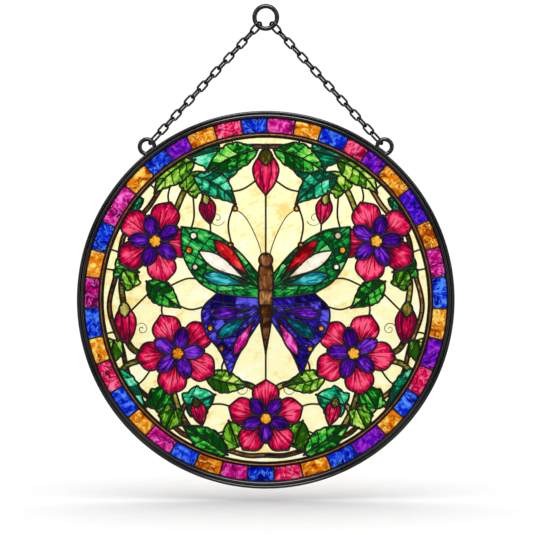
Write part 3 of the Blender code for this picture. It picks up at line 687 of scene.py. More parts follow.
def turned_ring(name, profile, steps=TURN_STEPS):
    """A closed profile of (radius, depth) carried round the hoop's axis.

    The point at angle a is radius cos a, depth, radius sin a from the hoop's centre.
    """
    profile = np.asarray(profile, float)
    a = np.linspace(0, 2 * np.pi, steps, endpoint=False)[:, None]
    radius, depth = profile.T
    points = np.stack(np.broadcast_arrays(radius * np.cos(a), depth,
                                          radius * np.sin(a) - HOOP_DROP), -1)
    faces = grid_faces(steps, len(profile))[:, ::-1]
    return mesh_object(name, points.reshape(-1, 3), [faces])


def fan(centre_x, centre_y, radius_x, radius_y, start, stop, steps):
    """Points of an elliptical arc, in a profile."""
    a = np.radians(np.linspace(start, stop, steps))
    return np.stack((centre_x + radius_x * np.cos(a), centre_y + radius_y * np.sin(a)), 1)


def wire(path, radius, sides=12):
    """A round wire along closed paths in space: at each point a circle across the path,
    set by the path's own plane. path is (runs, points, 3)."""
    forward = np.roll(path, -1, 1) - np.roll(path, 1, 1)
    forward /= np.linalg.norm(forward, axis=2, keepdims=True)
    centre = path.mean(1, keepdims=True)
    up = np.cross(path[:, :1] - centre, path[:, path.shape[1] // 4, None] - centre)
    up = up / np.linalg.norm(up, axis=2, keepdims=True)
    side = np.cross(forward, up)
    a = np.linspace(0, 2 * np.pi, sides, endpoint=False)
    across = (side[:, :, None] * np.cos(a)[:, None] + up[:, :, None] * np.sin(a)[:, None])
    points = path[:, :, None] + across * radius
    faces = [grid_faces(path.shape[1], sides, first=k * path.shape[1] * sides)
             for k in range(len(path))]
    return points.reshape(-1, 3), np.vstack(faces)[:, ::-1]


def bar(points, half, shoulder, crown, closed, steps=4):
    """A lead line: an upright bar, half wide to either side of its path, rounded on the
    front and the back from the shoulder's depth out to the crown's."""
    count = len(points)
    if closed:
        slope = np.roll(points, -1, 0) - np.roll(points, 1, 0)
    else:
        slope = np.gradient(points, axis=0)
    slope /= np.maximum(np.hypot(*slope.T), TINY)[:, None]
    across = np.stack((-slope[:, 1], slope[:, 0]), 1)
    a = np.linspace(0, np.pi, steps + 1)
    out = np.r_[np.cos(a), -np.cos(a)]
    deep = np.r_[-(shoulder + (crown - shoulder) * np.sin(a)),
                 shoulder + (crown - shoulder) * np.sin(a)]
    half = np.broadcast_to(half, count)[:, None]
    flat = points[:, None] + across[:, None] * (half * out)[..., None]
    solid = np.stack(np.broadcast_arrays(flat[..., 0], deep, flat[..., 1]), -1)
    sides = len(out)
    faces = [grid_faces(count, sides, closed)]
    if not closed:
        faces.append(np.arange(sides)[None, ::-1])
        faces.append(np.arange(sides)[None] + (count - 1) * sides)
    return solid.reshape(-1, 3), faces


def dome(x, y, radius, depth, crown, steps=10, rings=4):
    """A blob of solder on the front and the back: rings that shrink as a cosine while they
    rise as a sine from the depth to the crown."""
    a = np.linspace(0, 2 * np.pi, steps, endpoint=False)
    rise = np.linspace(-np.pi / 2, np.pi / 2, 2 * rings + 1)[1:-1, None]
    ring = radius * np.cos(rise)
    deep = -depth * np.sign(rise) - (crown - depth) * np.sin(rise)
    points = np.stack(np.broadcast_arrays(x + ring * np.cos(a), deep,
                                          y + ring * np.sin(a)), -1).reshape(-1, 3)
    top = np.array(((x, crown, y), (x, -crown, y)))
    count = 2 * rings - 1
    points = np.vstack((points, top))
    faces = grid_faces(count, steps, rows_closed=False)
    i = np.arange(steps)
    low = np.stack((i, np.full(steps, count * steps), (i + 1) % steps), 1)
    last = (count - 1) * steps
    high = np.stack((last + i, last + (i + 1) % steps, np.full(steps, count * steps + 1)), 1)
    return points, [faces, low, high]


def merged(name, parts, smooth_degrees=50):
    """One object from many (points, polygons) pairs."""
    first, points, polygons = 0, [], []
    for part_points, part_faces in parts:
        points.append(part_points)
        polygons += [faces + first for faces in part_faces]
        first += len(part_points)
    return mesh_object(name, np.vstack(points), polygons, smooth_degrees)


def ripple(x, y, height):
    """The waves of hand-rolled glass: crossed sines of 5, 8 and 13 mm, bent by each other."""
    wave = np.sin(x * 760 + 2.1 * np.sin(y * 410)) * np.sin(y * 690 + 1.7 * np.sin(x * 350))
    wave = 0.5 * wave + 0.5 * np.sin(x * 480 - y * 300 + 1.3 * np.sin(y * 240 + x * 90))
    return height * wave


def glass_plates(name, levels, sizes):
    """The panes of some shapes of the pile as closed plates with rippled faces. A sliver
    that lies wholly under the lead is left out.

    Each pane has its own points. A point on a pane's edge moves in by the plate's inset,
    along the sum of the two edges' inward normals.
    """
    radius = picture_radius(sizes)
    cut = sheet(radius)
    mine = np.isin(cut.shape, levels) & (cut.room[cut.pane] > SMALLEST_ROOM * sizes.glass_inset)
    faces, pane, shape = cut.triangles[mine], cut.pane[mine], cut.shape[mine]
    span = len(cut.points)
    key, index = np.unique(pane[:, None] * span + faces, return_inverse=True)
    faces = index.reshape(-1, 3)
    flat = cut.points[key % span].copy()
    rim = cut.rim[key % span]
    pane_of, shape_of = np.zeros(len(key), int), np.zeros(len(key), int)
    pane_of[faces.ravel()] = np.repeat(pane, 3)
    shape_of[faces.ravel()] = np.repeat(shape, 3)

    sides = np.stack((faces, np.roll(faces, -1, 1)), 2).reshape(-1, 2)
    there = sides @ (len(key), 1)
    edge = sides[~np.isin(there, sides[:, ::-1] @ (len(key), 1))]
    step = flat[edge[:, 1]] - flat[edge[:, 0]]
    inward = np.stack((-step[:, 1], step[:, 0]), 1)
    inward /= np.maximum(np.hypot(*inward.T), TINY)[:, None]
    total = np.zeros_like(flat)
    np.add.at(total, edge[:, 0], inward)
    np.add.at(total, edge[:, 1], inward)
    square = (total ** 2).sum(1)
    flat += total * (2 * sizes.glass_inset / np.maximum(square, 1.0))[:, None]

    x, y = flat.T
    half = sizes.glass_thickness / 2
    swell = np.minimum(rim / SWELL_WIDTH, 1) ** 0.5 * sizes.ripple_height
    calm = np.minimum(rim / CALM_EDGE, 1)
    front = -half - ripple(x, y, sizes.ripple_height) * calm - swell
    back = half + ripple(x + BACK_SHIFT, y, sizes.ripple_height) * BACK_CALM
    count = len(flat)
    points = np.vstack((np.stack((x, front, y - HOOP_DROP), 1),
                        np.stack((x, back, y - HOOP_DROP), 1)))
    a, b = edge.T
    walls = np.stack((a, a + count, b + count, b), 1)
    obj = mesh_object(name, points, [faces, faces[:, ::-1] + count, walls], 30)

    pile = picture()
    places = np.array([shape.place for shape in pile])[shape_of]
    tones = np.array([shape.tone for shape in pile])[shape_of]
    a = np.radians(places[:, 2])
    away = flat - places[:, :2] * radius
    along = away[:, 0] * np.cos(a) + away[:, 1] * np.sin(a)
    across = -away[:, 0] * np.sin(a) + away[:, 1] * np.cos(a)
    if pile[levels[0]].glass in ("petal", "plum", "gold"):
        reach = np.hypot(along, across)
        turn = np.arctan2(across, along)
        blossom = np.array([shape.name.startswith("blossom") for shape in pile])[shape_of]
        along = np.where(blossom, reach, along)
        across = np.where(blossom, turn * BLOSSOM_GRAIN_RADIUS, across)
    luck = np.random.default_rng(PANE_SEED).uniform(-1, 1, cut.pane.max() + 1)[pane_of]
    grain = np.stack((along, across, luck * 3), 1)
    attribute(obj, "grain", "FLOAT_VECTOR", np.vstack((grain, grain)))
    attribute(obj, "rim", "FLOAT", np.tile(rim * 1000, 2))
    attribute(obj, "tone", "FLOAT", np.tile(tones + 0.10 * luck, 2))
    return obj


# Sizes that follow from the panel's settings

def hoop_inner_radius(sizes):
    return sizes.hoop_radius - sizes.outer_bead - sizes.inner_bead - sizes.hoop_rim


def tile_inner_radius(sizes):
    return hoop_inner_radius(sizes) - sizes.tile_length


def picture_radius(sizes):
    return round(tile_inner_radius(sizes) - sizes.picture_frame, 7)


def ring_centre(sizes):
    return np.array((0, 0, sizes.ring_wire - sizes.ring_diameter / 2))


def eye_centre(sizes, side):
    a = math.radians(90 - side * sizes.eye_angle)
    reach = sizes.hoop_radius + sizes.eye_standoff
    return np.array((reach * math.cos(a), 0, reach * math.sin(a) - HOOP_DROP))


# Finishes

class Nodes:
    """A short way to write a finish's node tree."""

    def __init__(self, name):
        self.material = bpy.data.materials.new(name)
        self.material.use_nodes = True
        self.tree = self.material.node_tree
        self.shader = self.tree.nodes["Principled BSDF"]

    def add(self, kind, inputs=None, **settings):
        node = self.tree.nodes.new(kind)
        for key, value in settings.items():
            setattr(node, key, value)
        for key, value in (inputs or {}).items():
            if isinstance(value, bpy.types.NodeSocket):
                self.tree.links.new(value, node.inputs[key])
            else:
                node.inputs[key].default_value = value
        return node

    def math(self, operation, a, b=0.0, clamp=False):
        return self.add("ShaderNodeMath", {0: a, 1: b}, operation=operation,
                        use_clamp=clamp).outputs[0]

    def ramp(self, factor, stops):
        node = self.add("ShaderNodeValToRGB", {"Fac": factor})
        elements = node.color_ramp.elements
        while len(elements) < len(stops):
            elements.new(0.5)
        for element, (position, colour) in zip(elements, stops):
            element.position = position
            element.color = (*colour, 1.0)
        return node.outputs["Color"]

    def noise(self, vector, scale, detail=4.0, roughness=0.55, distortion=0.0):
        return self.add("ShaderNodeTexNoise", {
            "Vector": vector, "Scale": scale, "Detail": detail, "Roughness": roughness,
            "Distortion": distortion}).outputs["Fac"]

    def grained(self, scale, *settings):
        """A noise on the object's own coordinates."""
        here = self.add("ShaderNodeTexCoord").outputs["Object"]
        return self.noise(self.mapped(here, (scale, scale, scale)), 1.0, *settings)

    def mapped(self, vector, scale=(1, 1, 1), location=(0, 0, 0)):
        return self.add("ShaderNodeMapping", {
            "Vector": vector, "Scale": scale, "Location": location}).outputs["Vector"]

    def mixed(self, factor, low, high):
        node = self.add("ShaderNodeMix", data_type="RGBA")
        for index, value in ((0, factor), (6, low), (7, high)):
            if isinstance(value, bpy.types.NodeSocket):
                self.tree.links.new(value, node.inputs[index])
            else:
                node.inputs[index].default_value = (*value, 1.0)
        return node.outputs[2]

    def attribute(self, name, output):
        return self.add("ShaderNodeAttribute", attribute_name=name).outputs[output]

    def set(self, **inputs):
        for key, value in inputs.items():
            socket = self.shader.inputs[key.replace("_", " ")]
            if isinstance(value, bpy.types.NodeSocket):
                self.tree.links.new(value, socket)
            else:
                socket.default_value = value

    def bump(self, height, strength, distance):
        self.set(Normal=self.add("ShaderNodeBump", {
            "Height": height, "Strength": strength, "Distance": distance}).outputs["Normal"])


def shades_of(colours, glass):
    """The deep, main and light shade of a glass."""
    return [tuple(getattr(colours, glass + "_" + shade)) for shade in ("deep", "main", "light")]


GLASS_SHADER = {"Roughness": 0.10, "IOR": 1.45, "Specular_IOR_Level": 0.12,
                "Transmission_Weight": 0.93}


def stained_finish(glass, colours, streaks=(150, 620), contrast=1.0, glow=0.10, luck=1.0):
    """Hand-rolled coloured glass: streaks along the grain, clouds of lighter and deeper
    colour, lighter where it is far from a lead and deeper beside it."""
    deep, main, light = shades_of(colours, glass)
    n = Nodes(glass + "_stained_glass")
    grain = n.attribute("grain", "Vector")
    streak = n.noise(n.mapped(grain, (*streaks, 1)), 1.0, 5.0, 0.65, 0.8)
    cloud = n.noise(n.mapped(grain, (120, 120, 1), (3, 7, 0)), 1.0, 3.0, 0.5, 1.2)
    mix = n.math("ADD", n.math("MULTIPLY", streak, 0.65), n.math("MULTIPLY", cloud, 0.35))
    mix = n.math("ADD", mix, n.math("MULTIPLY", n.attribute("tone", "Fac"), luck))
    far = n.math("DIVIDE", n.attribute("rim", "Fac"), 5.0, clamp=True)
    mix = n.math("ADD", mix, n.math("MULTIPLY", n.math("SUBTRACT", far, 0.45), glow))
    width = 0.10 / contrast
    colour = n.ramp(mix, ((0.50 - width, deep), (0.50 - 0.15 * width, main),
                          (0.50 + 0.25 * width, main), (0.50 + 1.2 * width, light)))
    n.set(Base_Color=colour, **GLASS_SHADER)
    n.bump(streak, 0.25, 0.0004)
    return n.material


def tile_finish(glass, colours):
    """Crackled border glass: blotches of deeper colour under crinkled light strokes, which
    lie where a second noise is near its middle value."""
    deep, main, light = shades_of(colours, glass)
    n = Nodes(glass + "_tile_glass")
    grain = n.attribute("grain", "Vector")
    blotch = n.noise(n.mapped(grain, (150, 150, 1)), 1.0, 3.0, 0.5, 1.2)
    mix = n.math("ADD", blotch, n.attribute("tone", "Fac"))
    colour = n.ramp(mix, ((0.38, deep), (0.48, main), (0.55, main), (0.70, light)))
    crinkle = n.noise(n.mapped(grain, (110, 110, 1), (5, 1, 0)), 1.0, 2.0, 0.6, 2.2)
    off = n.math("ABSOLUTE", n.math("SUBTRACT", crinkle, 0.5))
    stroke = n.math("SUBTRACT", 1.0, n.math("DIVIDE", off, 0.042), clamp=True)
    patch = n.noise(n.mapped(grain, (170, 170, 1), (2, 9, 0)), 1.0, 1.0, 0.5)
    patch = n.math("MULTIPLY", n.math("SUBTRACT", patch, 0.38), 6.0, clamp=True)
    lit = n.mixed(n.math("MULTIPLY", stroke, patch), colour, light)
    n.set(Base_Color=lit, **GLASS_SHADER)
    n.bump(blotch, 0.2, 0.0005)
    return n.material


def black_finish():
    """Satin black metal, rubbed to grey in small patches."""
    n = Nodes("satin_black_metal")
    wear = n.grained(420, 5.0, 0.6)
    colour = n.ramp(wear, ((0.35, (0.002, 0.002, 0.002)), (0.62, (0.005, 0.005, 0.005)),
                           (0.80, (0.030, 0.030, 0.031))))
    rough = n.add("ShaderNodeMapRange", {"Value": wear, "To Min": 0.13, "To Max": 0.24})
    n.set(Base_Color=colour, Metallic=0.0, Roughness=rough.outputs["Result"],
          Specular_IOR_Level=0.5)
    n.bump(wear, 0.05, 0.0002)
    return n.material


def lead_finish():
    """Lead and solder under black patina, a little rough."""
    n = Nodes("black_patina_lead")
    wear = n.grained(650, 4.0, 0.6)
    colour = n.ramp(wear, ((0.40, (0.003, 0.003, 0.002)), (0.65, (0.007, 0.006, 0.005)),
                           (0.82, (0.030, 0.025, 0.020))))
    n.set(Base_Color=colour, Metallic=0.0, Roughness=0.42, Specular_IOR_Level=0.2)
    n.bump(wear, 0.3, 0.0003)
    return n.material


def copper_finish(colours):
    """Aged copper: bright in places, browned in blotches."""
    n = Nodes("aged_copper")
    age = n.grained(260, 5.0, 0.65, 0.8)
    bright = tuple(colours.copper)
    colour = n.ramp(age, ((0.34, tuple(c * 0.18 for c in bright)),
                          (0.52, tuple(c * 0.62 for c in bright)), (0.70, bright)))
    n.set(Base_Color=colour, Metallic=0.5, Roughness=0.36)
    n.bump(age, 0.25, 0.0003)
    return n.material


def floor_finish():
    """White paper with a faint tooth."""
    n = Nodes("white_floor")
    tooth = n.grained(60, 3.0)
    colour = n.ramp(tooth, ((0.3, (0.96, 0.96, 0.96)), (0.7, (0.98, 0.98, 0.98))))
    n.set(Base_Color=colour, Roughness=0.9, Specular_IOR_Level=0.1)
    return n.material


def finish(name, make, *arguments):
    """The named finish, made once."""
    return bpy.data.materials.get(name) or make(*arguments)


def dress(obj, material, nodes=()):
    """Give a piece its finish and its body, and hide the CAD nodes it stands for."""
    obj.data.materials.append(material)
    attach(obj, "root")
    if nodes:
        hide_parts(*nodes)


# Settings

def length(name, default, description):
    return bpy.props.FloatProperty(name=name, default=default, description=description,
                                   min=0.0, precision=5, subtype="DISTANCE", unit="LENGTH")


class SuncatcherSizes(bpy.types.PropertyGroup):
    """Sizes of the suncatcher."""
    hoop_radius: length("Hoop radius", 0.1270, "Middle of the hoop to its outside")
    hoop_depth: length("Hoop depth", 0.0090, "Front to back")
    outer_bead: length("Outer bead", 0.0021, "Width of the hoop's outer bead")
    inner_bead: length("Inner bead", 0.0024, "Width of the hoop's inner bead")
    hoop_rim: length("Hoop rim", 0.0006, "Width of the flat inside the inner bead")
    tile_length: length("Tile length", 0.0094, "Border tile, along the radius")
    bar_width: length("Border bar width", 0.0012, "Lead between two border tiles")
    picture_frame: length("Picture frame", 0.0029, "Lead ring between border and picture")
    copper_width: length("Copper bead width", 0.0009, "Bead on the picture's frame")
    glass_thickness: length("Glass thickness", 0.0030, "Thickness of every pane")
    glass_inset: length("Glass inset", 0.0003, "From the middle of a lead line to the glass")
    lead_depth: length("Lead depth", 0.0042, "Front to back of the lead lines")
    lead_width: length("Lead width", 0.0013, "Lead line between two panes")
    vein_width: length("Vein width", 0.00055, "Thin line inside a pane")
    ripple_height: length("Ripple height", 0.00009, "Waves on the face of the glass")
    ring_diameter: length("Ring diameter", 0.0182, "Outside of the hanging ring")
    ring_wire: length("Ring wire", 0.0030, "Thickness of the hanging ring's wire")
    eye_diameter: length("Loop diameter", 0.0127, "Outside of a loop on the hoop")
    eye_wire: length("Loop wire", 0.0028, "Thickness of a loop's wire")
    eye_standoff: length("Loop standoff", 0.0035, "Hoop's outside to a loop's middle")
    eye_angle: bpy.props.FloatProperty(
        name="Loop angle", default=37.8, description="Degrees from the top of the hoop")
    link_wire: length("Link wire", 0.0015, "Thickness of the chain's wire")
    link_width: length("Link width", 0.0056, "Outside width of a chain link")
    links: bpy.props.IntProperty(
        name="Links", default=16, min=3, description="Links in each chain")


def colour_setting(name, shade, default):
    return bpy.props.FloatVectorProperty(
        name="%s %s" % (name.capitalize(), shade), default=linear(default), size=3,
        subtype="COLOR", min=0.0, max=1.0, description="%s shade of the %s glass"
        % (shade.capitalize(), name))


class SuncatcherColours(bpy.types.PropertyGroup):
    """Colours of the glass and the copper."""
    __annotations__ = {
        "%s_%s" % (glass, shade): colour_setting(glass, shade, value)
        for glass, shades in GLASS.items()
        for shade, value in zip(("deep", "main", "light"), shades)}
    __annotations__["copper"] = bpy.props.FloatVectorProperty(
        name="Copper", default=linear((196, 122, 52)), size=3, subtype="COLOR",
        min=0.0, max=1.0, description="Colour of the copper bead")


# Operators

class BuildPiece:
    """What the operators share."""
    bl_options = {"REGISTER", "UNDO"}

    def execute(self, context):
        self.build(context.scene.suncatcher_sizes, context.scene.suncatcher_colours)
        return {"FINISHED"}


class SUNCATCHER_OT_rings(BuildPiece, bpy.types.Operator):
    """Make the hanging ring and the two loops on the hoop"""
    bl_idname = "suncatcher.rings"
    bl_label = "Rings"

    def build(self, sizes, colours):
        black = finish("satin_black_metal", black_finish)
        for name, centre, diameter, thick in (
                ("hanging_ring_wire", ring_centre(sizes), sizes.ring_diameter, sizes.ring_wire),
                ("eye_wire_left", eye_centre(sizes, -1), sizes.eye_diameter, sizes.eye_wire),
                ("eye_wire_right", eye_centre(sizes, 1), sizes.eye_diameter, sizes.eye_wire)):
            a = np.linspace(0, 2 * np.pi, 64, endpoint=False)
            reach = (diameter - thick) / 2
            path = centre + np.stack((np.cos(a) * reach, 0 * a, np.sin(a) * reach), 1)
            points, faces = wire(path[None], thick / 2, 18)
            parts = [(points, [faces])]
            if name != "hanging_ring_wire":
                parts.append(self.weld(sizes, centre))
            dress(merged(name, parts), black,
                  (name.replace("_wire", ""),))

    def weld(self, sizes, centre):
        """A flattened foot between the loop and the hoop: a ball squeezed to
        |x|^3 + |y|^3 + |z|^3 = 1 and stretched along the hoop."""
        middle = np.array((0, 0, -HOOP_DROP))
        outward = (centre - middle) / np.linalg.norm(centre - middle)
        along = np.array((outward[2], 0, -outward[0]))
        u = np.linspace(0, 2 * np.pi, 32, endpoint=False)[None]
        v = np.linspace(-np.pi / 2, np.pi / 2, 14)[1:-1, None]
        x, y, z = np.broadcast_arrays(np.cos(v) * np.cos(u), np.cos(v) * np.sin(u), np.sin(v))
        grow = (abs(x) ** 3 + abs(y) ** 3 + abs(z) ** 3) ** (-1 / 3)
        foot = middle + outward * (sizes.hoop_radius + FOOT_STANDOFF)
        size = (FOOT_HALF_LENGTH, sizes.eye_wire * FOOT_DEPTH_SHARE, FOOT_HALF_HEIGHT)
        points = (foot + (x * grow * size[0])[..., None] * along
                  + (y * grow * size[1])[..., None] * np.array((0, 1, 0))
                  + (z * grow * size[2])[..., None] * outward).reshape(-1, 3)
        ends = np.array((foot - outward * size[2], foot + outward * size[2]))
        points = np.vstack((points, ends))
        rows, columns = x.shape
        i = np.arange(columns)
        low = np.stack((np.full(columns, rows * columns), (i + 1) % columns, i), 1)
        last = (rows - 1) * columns
        high = np.stack((np.full(columns, rows * columns + 1), last + i,
                         last + (i + 1) % columns), 1)
        faces = [grid_faces(rows, columns, rows_closed=False), low, high]
        return points, faces


class SUNCATCHER_OT_chains(BuildPiece, bpy.types.Operator):
    """Make the two chains of round wire links"""
    bl_idname = "suncatcher.chains"
    bl_label = "Chains"

    def build(self, sizes, colours):
        for side, word in ((-1, "left"), (1, "right")):
            points, faces = wire(self.paths(sizes, side), sizes.link_wire / 2, 10)
            dress(mesh_object("chain_wire_" + word, points, [faces]),
                  finish("satin_black_metal", black_finish),
                  ("chain_" + word,))

    def paths(self, sizes, side):
        """The middle lines of a taut chain's links: two straight sides and two half
        circles each, turned about the chain by turns. The end links fit the wires they
        go round and the rest share what is left."""
        wire_size = sizes.link_wire
        start, end = ring_centre(sizes), eye_centre(sizes, side)
        along = (end - start) / np.linalg.norm(end - start)
        face = np.array((0, -1.0, 0))
        across = np.cross(face, along)
        first_tip = sizes.ring_diameter / 2 - sizes.ring_wire - wire_size - FIT_GAP
        last_tip = sizes.eye_diameter / 2 - sizes.eye_wire - wire_size - FIT_GAP
        run = np.linalg.norm(end - start) - first_tip - last_tip
        joint = 2 * wire_size - LINK_BITE
        count = sizes.links

        def end_size(threaded, roll, slack):
            reach = threaded / 2 + wire_size / 2 + FIT_GAP
            return (threaded + 3 * wire_size + slack,
                    2 * reach / math.sin(math.radians(roll)) + wire_size)

        first = end_size(sizes.ring_wire, RING_LINK_ROLL, RING_LINK_SLACK)
        last = end_size(sizes.eye_wire, EYE_LINK_ROLL, EYE_LINK_SLACK)
        inner = (run - first[0] - last[0] + (count - 1) * joint) / (count - 2)
        lengths = np.array([first[0]] + [inner] * (count - 2) + [last[0]])
        widths = np.array([first[1]] + [sizes.link_width] * (count - 2) + [last[1]])
        rolls = [RING_LINK_ROLL, SECOND_LINK_ROLL]
        rolls += [180 * (k // 2 + 1) + (NARROW_LINK_ROLL if k % 2 else WIDE_LINK_ROLL)
                  for k in range(count - 3)]
        rolls.append(180 - EYE_LINK_ROLL)
        rolls = np.radians(side * np.array(rolls))[:, None, None]
        tips = first_tip + np.r_[0, np.cumsum(lengths[:-1] - joint)]
        half = (widths - wire_size)[:, None] / 2
        straight = (lengths - wire_size)[:, None] / 2 - half
        a = np.linspace(-np.pi / 2, np.pi / 2, 13)
        x = np.hstack((straight + half * np.cos(a), -straight - half * np.cos(a)))
        y = np.hstack((half * np.sin(a), -half * np.sin(a)))
        centres = start + along * (tips + lengths / 2)[:, None]
        sideways = across * np.cos(rolls) + face * np.sin(rolls)
        return centres[:, None] + x[..., None] * along + y[..., None] * sideways


class SUNCATCHER_OT_hoop(BuildPiece, bpy.types.Operator):
    """Make the turned hoop with its two beads"""
    bl_idname = "suncatcher.hoop"
    bl_label = "Hoop"

    def build(self, sizes, colours):
        front = sizes.hoop_depth / 2
        outer, inner = sizes.hoop_radius, hoop_inner_radius(sizes)
        bead = sizes.outer_bead / 2
        small = sizes.inner_bead / 2
        flat_small = small * INNER_BEAD_FLATTENING
        channel, lip = sizes.lead_depth / 2 + FIT_GAP, inner + HOOP_LIP
        edge = HOOP_BACK_EDGE
        profile = np.vstack((
            fan(outer - bead, -front + bead, bead, bead, 0, -170, 12),
            fan(outer - 2 * bead - small, -front + flat_small + HOOP_GROOVE, small, flat_small,
                -20, -180, 12),
            ((inner + 0.0001, HOOP_FLAT[0] - front), (inner, HOOP_FLAT[1] - front),
             (inner, -channel), (lip, -channel), (lip, channel), (inner, channel),
             (inner, front - HOOP_BACK_RIM)),
            fan(outer - edge, front - edge, edge, edge, 90, 0, 6)))
        dress(turned_ring("hoop_turned", profile),
              finish("satin_black_metal", black_finish), ("hoop",))


class SUNCATCHER_OT_copper(BuildPiece, bpy.types.Operator):
    """Make the copper bead between border and picture"""
    bl_idname = "suncatcher.copper"
    bl_label = "Copper bead"

    def build(self, sizes, colours):
        middle = picture_radius(sizes) + sizes.picture_frame / 2
        back = sizes.lead_depth / 2
        half = sizes.copper_width / 2
        profile = np.vstack((
            fan(middle, -back - COPPER_STANDOFF, half, COPPER_RISE, 0, -180, 14),
            ((middle - half, -back), (middle + half, -back))))
        dress(turned_ring("copper_bead", profile, COPPER_STEPS),
              finish("aged_copper", copper_finish, colours),
              ("copper_bead_ring",))


class SUNCATCHER_OT_border(BuildPiece, bpy.types.Operator):
    """Make the border's coloured tiles"""
    bl_idname = "suncatcher.border"
    bl_label = "Border tiles"

    def build(self, sizes, colours):
        starts = 90 - BORDER_START_DEG - np.cumsum([0] + [tile[0] for tile in BORDER_TILES])
        glasses = [tile[1] for tile in BORDER_TILES]
        luck = np.random.default_rng(TILE_SEED).uniform(-1, 1, len(glasses))
        for glass in dict.fromkeys(glasses):
            parts, grains, tones = [], [], []
            for number in np.flatnonzero(np.array(glasses) == glass):
                points, faces, grain = self.tile(sizes, starts[number], starts[number + 1])
                parts.append((points, faces))
                grains.append(grain + (0, 0, luck[number] * 9))
                tones.append(np.full(len(points), 0.05 * luck[number]))
            obj = merged("border_%s_tiles" % glass, parts, 35)
            attribute(obj, "grain", "FLOAT_VECTOR", np.vstack(grains))
            attribute(obj, "tone", "FLOAT", np.concatenate(tones))
            dress(obj, finish(glass + "_tile_glass", tile_finish, glass, colours),
                  ("border_glass",))

    def tile(self, sizes, left, right, columns=22, rows=13):
        """One tile: angle and radius run evenly over a grid on the front, and again on
        the back, and the two are joined round the edge."""
        inner = tile_inner_radius(sizes) + sizes.glass_inset / 2
        outer = hoop_inner_radius(sizes) + TILE_LAP
        r = np.linspace(inner, outer, rows)[:, None]
        trim = np.degrees(sizes.glass_inset / r)
        s = np.linspace(0, 1, columns)[None]
        a = np.radians(left - trim - s * (left - right - 2 * trim))
        x, y = r * np.cos(a), r * np.sin(a)
        half = sizes.glass_thickness / 2
        t = np.linspace(0, 1, rows)[:, None]
        pillow = (np.minimum(np.minimum(s, 1 - s) * PILLOW, 1)
                  * np.minimum(np.minimum(t, 1 - t) * PILLOW, 1))
        wave = ripple(x * TILE_RIPPLE, y * TILE_RIPPLE, sizes.ripple_height * TILE_RIPPLE)
        front = -half - wave * pillow - TILE_SWELL * pillow
        back = half + ripple(x + TILE_BACK_SHIFT, y, sizes.ripple_height) * pillow
        size = rows * columns
        points = np.vstack((np.stack((x, front, y - HOOP_DROP), -1).reshape(-1, 3),
                            np.stack((x, back, y - HOOP_DROP), -1).reshape(-1, 3)))
        quads = grid_faces(rows, columns, False, False)
        grid = np.arange(size).reshape(rows, columns)
        loop = np.concatenate((grid[0, :-1], grid[:-1, -1], grid[-1, :0:-1], grid[:0:-1, 0]))
        after = np.roll(loop, -1)
        walls = np.stack((loop, loop + size, after + size, after), 1)
        grain = np.stack((x, y, 0 * x), -1).reshape(-1, 3)
        return points, [quads, quads[:, ::-1] + size, walls], np.vstack((grain, grain))


class SUNCATCHER_OT_leads(BuildPiece, bpy.types.Operator):
    """Make the lead lines, the border's bars and the solder on their joints"""
    bl_idname = "suncatcher.leads"
    bl_label = "Lead lines"

    def build(self, sizes, colours):
        radius = picture_radius(sizes)
        shoulder = sizes.glass_thickness / 2 - LEAD_SUNK
        crown = sizes.lead_depth / 2
        lead = finish("black_patina_lead", lead_finish)
        outlines, cuts, veins, joints = [], [], [], []
        for kind, points, closed, _ in lead_paths(radius):
            if kind in ("vein", "fine"):
                taper = np.linspace(*(VEIN_TAPER if kind == "vein" else FINE_TAPER), len(points))
                veins.append(bar(points, taper * sizes.vein_width / 2, shoulder,
                                 shoulder + LEAD_ROUNDING, closed))
                continue
            group = outlines if kind == "edge" else cuts
            group.append(bar(points, sizes.lead_width / 2, shoulder, crown, closed))
            if not closed:
                joints += [points[0], points[-1]]

        frame_outside, hoop_inside = tile_inner_radius(sizes), hoop_inner_radius(sizes)
        starts = 90 - BORDER_START_DEG - np.cumsum([0] + [tile[0] for tile in BORDER_TILES[:-1]])
        reach = np.linspace(frame_outside - LEAD_ROUNDING, hoop_inside + BAR_LAP, 16)
        for angle in starts:
            cuts.append(bar(polar(reach, angle), sizes.bar_width / 2, shoulder,
                            crown - SOLDER_RISE, False))
            joints += [polar(frame_outside + JOINT_SHIFT, angle), polar(hoop_inside, angle)]
        solder = [dome(x, y, SOLDER_RADIUS, shoulder, crown + SOLDER_RISE) for x, y in joints]
        for name, group in (("lead_outlines", outlines), ("lead_cuts", cuts),
                            ("lead_solder", solder), ("lead_veins", veins)):
            group = [(points - (0, 0, HOOP_DROP), faces) for points, faces in group]
            dress(merged(name, group), lead, ("lead_lines",))

        outside, inside_edge = frame_outside + FRAME_LAP_OUTSIDE, radius - FRAME_LAP_INSIDE
        top = frame_outside - FRAME_ROUNDING
        ring = ((top, -crown), (radius, -crown), (inside_edge, -shoulder),
                (inside_edge, shoulder), (radius, crown), (top, crown), (outside, shoulder),
                (outside, -shoulder))
        dress(turned_ring("lead_picture_frame", ring), lead,
              ("lead_lines",))


